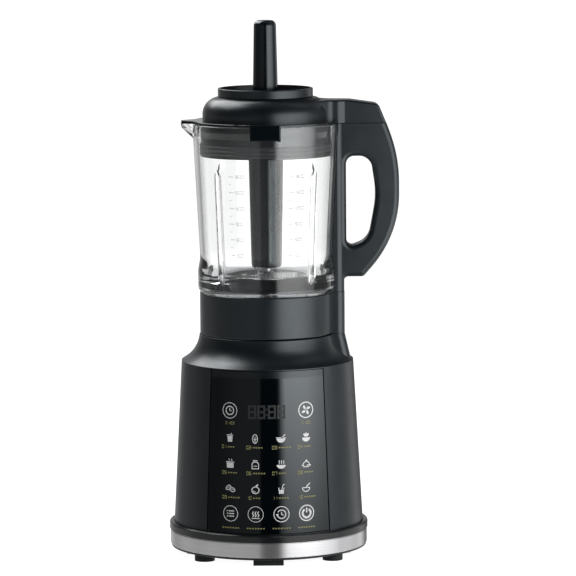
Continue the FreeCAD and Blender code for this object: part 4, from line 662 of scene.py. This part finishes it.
# One degree round the glass in millimetres, the scale's levels in millimetres and millilitres,
# the directions of the two scales in degrees off the front, and their figures
DEGREE = math.radians(1) * 68.0
SCALE_STEPS, SCALE_LOW, SCALE_PITCH, SCALE_UNIT = 6, 304.0, 15.6, 300
LEFT_SCALE, RIGHT_SCALE = -26, 24
SCALE_FIGURES = (1.6, 3.2, 0.42, 2.8)


def left_scale(across, up, out):
    return on_glass(LEFT_SCALE + across / DEGREE, up, out)


def right_scale(across, up, out):
    return on_glass(RIGHT_SCALE + across / DEGREE, up, out)


# The right-hand scale takes the darker copy of the ink, painted shade against the brighter light on that side
for name, wrap, ink in (("jar_scale_left", left_scale, SCALE_INK), ("jar_scale_right", right_scale, SCALE_INK_PAINTED_SHADE)):
    marks = Print(wrap, -0.03, 0.06)
    for step in range(SCALE_STEPS):
        level = SCALE_LOW + SCALE_PITCH * step
        marks.line([(-6.0, level), (-1.0, level)], 0.5)
        figures(marks, str(SCALE_UNIT * (step + 1)), 4.6, level - SCALE_FIGURES[1] / 2, *SCALE_FIGURES)
        if step < SCALE_STEPS - 1:
            between = level + SCALE_PITCH / 2
            marks.line([(-6.0, between), (-3.6, between)], 0.4)
    marks.piece(name, ink, "jar")

# Light passes the clear glass without a shadow
NODES["glass_jar"].visible_shadow = False
NODES["glass_jar"].visible_diffuse = False


# Floor, world, lamps and camera

FLOOR_RIMS = (0.6, 2.0, 8.0, 80.0)
FLOOR_LEVEL = -0.0001
SPOKES = 48
floor_mesh = bpy.data.meshes.new("floor")
floor_points = [(0, 0, FLOOR_LEVEL)]
floor_faces = []
for rim in FLOOR_RIMS:
    for spoke in range(SPOKES):
        turn = 2 * math.pi * spoke / SPOKES
        floor_points.append((rim * math.cos(turn), rim * math.sin(turn), FLOOR_LEVEL))
for spoke in range(SPOKES):
    following = (spoke + 1) % SPOKES
    floor_faces.append((0, 1 + spoke, 1 + following))
    for rim in range(len(FLOOR_RIMS) - 1):
        inner, outer = 1 + rim * SPOKES, 1 + (rim + 1) * SPOKES
        floor_faces.append((inner + spoke, outer + spoke, outer + following, inner + following))
floor_mesh.from_pydata(floor_points, [], floor_faces)
floor = bpy.data.objects.new("floor", floor_mesh)
SCENE.collection.objects.link(floor)


# What gloss reflects round the object, from the back by the left, the front and the right to the back:
# degrees from the front, brightness at eye level, brightness of the lit table below it
ROUND = (
    (-180, 0.50, 0.55),
    (-158, 0.55, 0.66),
    (-138, 0.14, 0.80),
    (-115, 0.25, 0.92),
    (-95, 0.10, 0.92),
    (-65, 0.12, 0.88),
    (-40, 0.21, 0.88),
    (-11, 0.22, 0.84),
    (-8, 0.01, 0.33),
    (12, 0.01, 0.30),
    (16, 0.50, 0.40),
    (40, 1.00, 0.40),
    (80, 0.62, 1.00),
    (108, 0.34, 1.70),
    (122, 0.34, 1.60),
    (136, 1.15, 1.00),
    (150, 0.25, 0.50),
    (162, 0.12, 0.35),
    (180, 0.50, 0.55),
)


# Heights of a direction, and its share towards front or back, between which the studio changes
TABLE_EDGE = (-0.23, -0.14)
OVERHEAD_EDGE = (0.10, 0.65)
SIDE_EDGE = (0.25, 0.7)
OVERHEAD = 0.12
SIDE_GREY = 0.08
# A colour ramp holds no more than 1, so the list is halved in it and doubled after it
RAMP_SHARE = 0.5


def by_turn(tree, turn, column):
    """A brightness of the list above by the direction round the object."""
    ramp = tree.nodes.new("ShaderNodeValToRGB")
    stops = ramp.color_ramp.elements
    while len(stops) < len(ROUND):
        stops.new(0.5)
    for stop, row in zip(stops, ROUND):
        stop.position = row[0] / 360 + 0.5
        grey = row[column] * RAMP_SHARE
        stop.color = (grey, grey, grey, 1)
    tree.links.new(turn, ramp.inputs["Fac"])
    return worked(tree, "MULTIPLY", ramp.outputs["Color"], 1 / RAMP_SHARE)


def backdrop(tree, direction, straight, plain):
    """How bright the studio is in a direction from the object.

    What is seen straight is white. Through clear glass the studio is white in front and behind and
    grey at the sides, gloss shows it by the list above, darker overhead, and on matt it is plain.
    """
    apart = tree.nodes.new("ShaderNodeSeparateXYZ")
    tree.links.new(direction, apart.inputs[0])
    rays = tree.nodes.new("ShaderNodeLightPath")
    ahead = worked(tree, "ABSOLUTE", apart.outputs["Y"], 0)
    through = ramped(tree, ahead, *SIDE_EDGE, SIDE_GREY, straight)
    front = worked(tree, "MULTIPLY", apart.outputs["Y"], -1)
    round_turn = worked(tree, "ARCTAN2", apart.outputs["X"], front)
    turn = ramped(tree, round_turn, -math.pi, math.pi, 0, 1)
    dimming = ramped(tree, apart.outputs["Z"], *OVERHEAD_EDGE, 1, OVERHEAD)
    upper = worked(tree, "MULTIPLY", by_turn(tree, turn, 1), dimming)
    low = ramped(tree, apart.outputs["Z"], *TABLE_EDGE, 1, 0)
    table = worked(tree, "MULTIPLY", by_turn(tree, turn, 2), low)
    gloss = worked(tree, "ADD", table, worked(tree, "MULTIPLY", upper, worked(tree, "SUBTRACT", 1, low)))
    seen = rays.outputs["Is Camera Ray"]
    matt = worked(tree, "GREATER_THAN", rays.outputs["Diffuse Depth"], 0.5)
    clean = worked(tree, "LESS_THAN", worked(tree, "ADD", rays.outputs["Glossy Depth"], matt), 0.5)
    by_glass = worked(tree, "MULTIPLY", rays.outputs["Is Transmission Ray"], clean)
    rest = worked(tree, "SUBTRACT", 1, worked(tree, "ADD", seen, worked(tree, "ADD", by_glass, matt)))
    total = worked(tree, "MULTIPLY", seen, straight)
    for share, level in ((by_glass, through), (rest, gloss), (matt, plain)):
        total = worked(tree, "ADD", total, worked(tree, "MULTIPLY", share, level))
    return total


FLOOR_GREY = (0.30, 0.30, 0.30, 1)
# Near the object the floor's glow is a little lower: distances in metres, then the two levels
GLOW_REACH, GLOW_LEVELS = (0.1, 0.7), (0.965, 1.0)
WHITE_SEEN = 1.0
FLOOR_FILL, WORLD_FILL = 0.0, 0.3

paper = bpy.data.materials.new("floor_paper")
paper.use_nodes = True
paper_tree = paper.node_tree
paper_tree.nodes.clear()
paper_out = paper_tree.nodes.new("ShaderNodeOutputMaterial")
lit = paper_tree.nodes.new("ShaderNodeBsdfDiffuse")
lit.inputs["Color"].default_value = FLOOR_GREY
glow = paper_tree.nodes.new("ShaderNodeEmission")
both = paper_tree.nodes.new("ShaderNodeAddShader")
where = paper_tree.nodes.new("ShaderNodeTexCoord")
away = paper_tree.nodes.new("ShaderNodeVectorMath")
away.operation = "NORMALIZE"
paper_tree.links.new(where.outputs["Object"], away.inputs[0])
paper_tree.links.new(backdrop(paper_tree, away.outputs[0], WHITE_SEEN, FLOOR_FILL), glow.inputs["Strength"])
far = paper_tree.nodes.new("ShaderNodeVectorMath")
far.operation = "LENGTH"
paper_tree.links.new(where.outputs["Object"], far.inputs[0])
paper_tree.links.new(ramped(paper_tree, far.outputs["Value"], *GLOW_REACH, *GLOW_LEVELS), glow.inputs["Color"])
paper_tree.links.new(lit.outputs[0], both.inputs[0])
paper_tree.links.new(glow.outputs[0], both.inputs[1])
paper_tree.links.new(both.outputs[0], paper_out.inputs["Surface"])
floor_mesh.materials.append(paper)
paper.cycles.emission_sampling = "NONE"
floor.visible_glossy = False

world = bpy.data.worlds.new("studio")
SCENE.world = world
world.cycles.sampling_method = "NONE"
world.use_nodes = True
air = world.node_tree
air.nodes.clear()
air_out = air.nodes.new("ShaderNodeOutputWorld")
sky = air.nodes.new("ShaderNodeBackground")
sky.inputs["Color"].default_value = (1, 1, 1, 1)
around = air.nodes.new("ShaderNodeTexCoord")
studio = backdrop(air, around.outputs["Generated"], WHITE_SEEN, WORLD_FILL)
air.links.new(studio, sky.inputs["Strength"])
air.links.new(sky.outputs[0], air_out.inputs["Surface"])


# Shares of a faded lamp's height over which it comes up to its brightest and settles above that
RISE, BRIGHTEST = (0.06, 0.33), 1.3
SETTLE, SETTLED = (0.34, 0.46), 0.66
FAR_SIDE = 0.3
OBJECT_MIDDLE = (0, 0, 0.31)


def softbox(name, place, wide, tall, radiance, aim=OBJECT_MIDDLE, fade=None):
    """A rectangular lamp turned to the object; the energy follows from its size.

    fade holds the brightness at the bottom, the share of the width over which the left side comes up
    and the share over which the right side goes down.
    """
    lamp = bpy.data.lights.new(name, "AREA")
    lamp.shape = "RECTANGLE"
    lamp.size = wide
    lamp.size_y = tall
    lamp.energy = radiance * math.pi * wide * tall
    if fade:
        lamp.use_nodes = True
        tree = lamp.node_tree
        spot = tree.nodes.new("ShaderNodeNewGeometry")
        apart = tree.nodes.new("ShaderNodeSeparateXYZ")
        tree.links.new(spot.outputs["Parametric"], apart.inputs[0])
        low, left, right = fade
        rise = ramped(tree, apart.outputs["Y"], *RISE, low, BRIGHTEST)
        settled = ramped(tree, apart.outputs["Y"], *SETTLE, 1.0, SETTLED)
        height = worked(tree, "MULTIPLY", rise, settled)
        near = ramped(tree, apart.outputs["X"], 0.0, left, 0.0, 1.0)
        far = ramped(tree, apart.outputs["X"], 1.0 - right, 1.0, 1.0, FAR_SIDE)
        strength = worked(tree, "MULTIPLY", height, worked(tree, "MULTIPLY", near, far))
        tree.links.new(strength, tree.nodes["Emission"].inputs["Strength"])
    made = bpy.data.objects.new(name, lamp)
    made.location = place
    made.rotation_euler = (Vector(aim) - made.location).to_track_quat("-Z", "Y").to_euler()
    made.visible_camera = False
    SCENE.collection.objects.link(made)


softbox("softbox_right", (0.402, -0.356, 0.29), 0.74, 0.70, 3.3, (0, 0, 0.29), (0.15, 0.13, 0.50))
softbox("softbox_rear_left", (-0.62, 0.80, 1.40), 0.86, 1.10, 5.2)
softbox("softbox_left", (-1.02, 0.26, 1.78), 0.86, 0.90, 5.1)
softbox("softbox_right_top", (1.02, 0.26, 1.78), 0.86, 0.90, 0.50)
softbox("softbox_top", (0.0, 0.0, 1.90), 1.00, 1.00, 0.15)

CAMERA_PLACE = (0.0211, -3.972, 0.7381)
LOOK_DOWN, ROLL = 6.8, -0.42
view = bpy.data.cameras.new("view")
view.sensor_width = 36.0
view.lens = 250.0
view.clip_end = 300.0
camera = bpy.data.objects.new("view", view)
camera.location = CAMERA_PLACE
pitch = Euler((math.radians(90 - LOOK_DOWN), 0, 0)).to_matrix().to_4x4()
roll = Matrix.Rotation(math.radians(ROLL), 4, "Z")
camera.rotation_euler = (pitch @ roll).to_euler()
SCENE.collection.objects.link(camera)
SCENE.camera = camera

SCENE.view_settings.view_transform = "Standard"
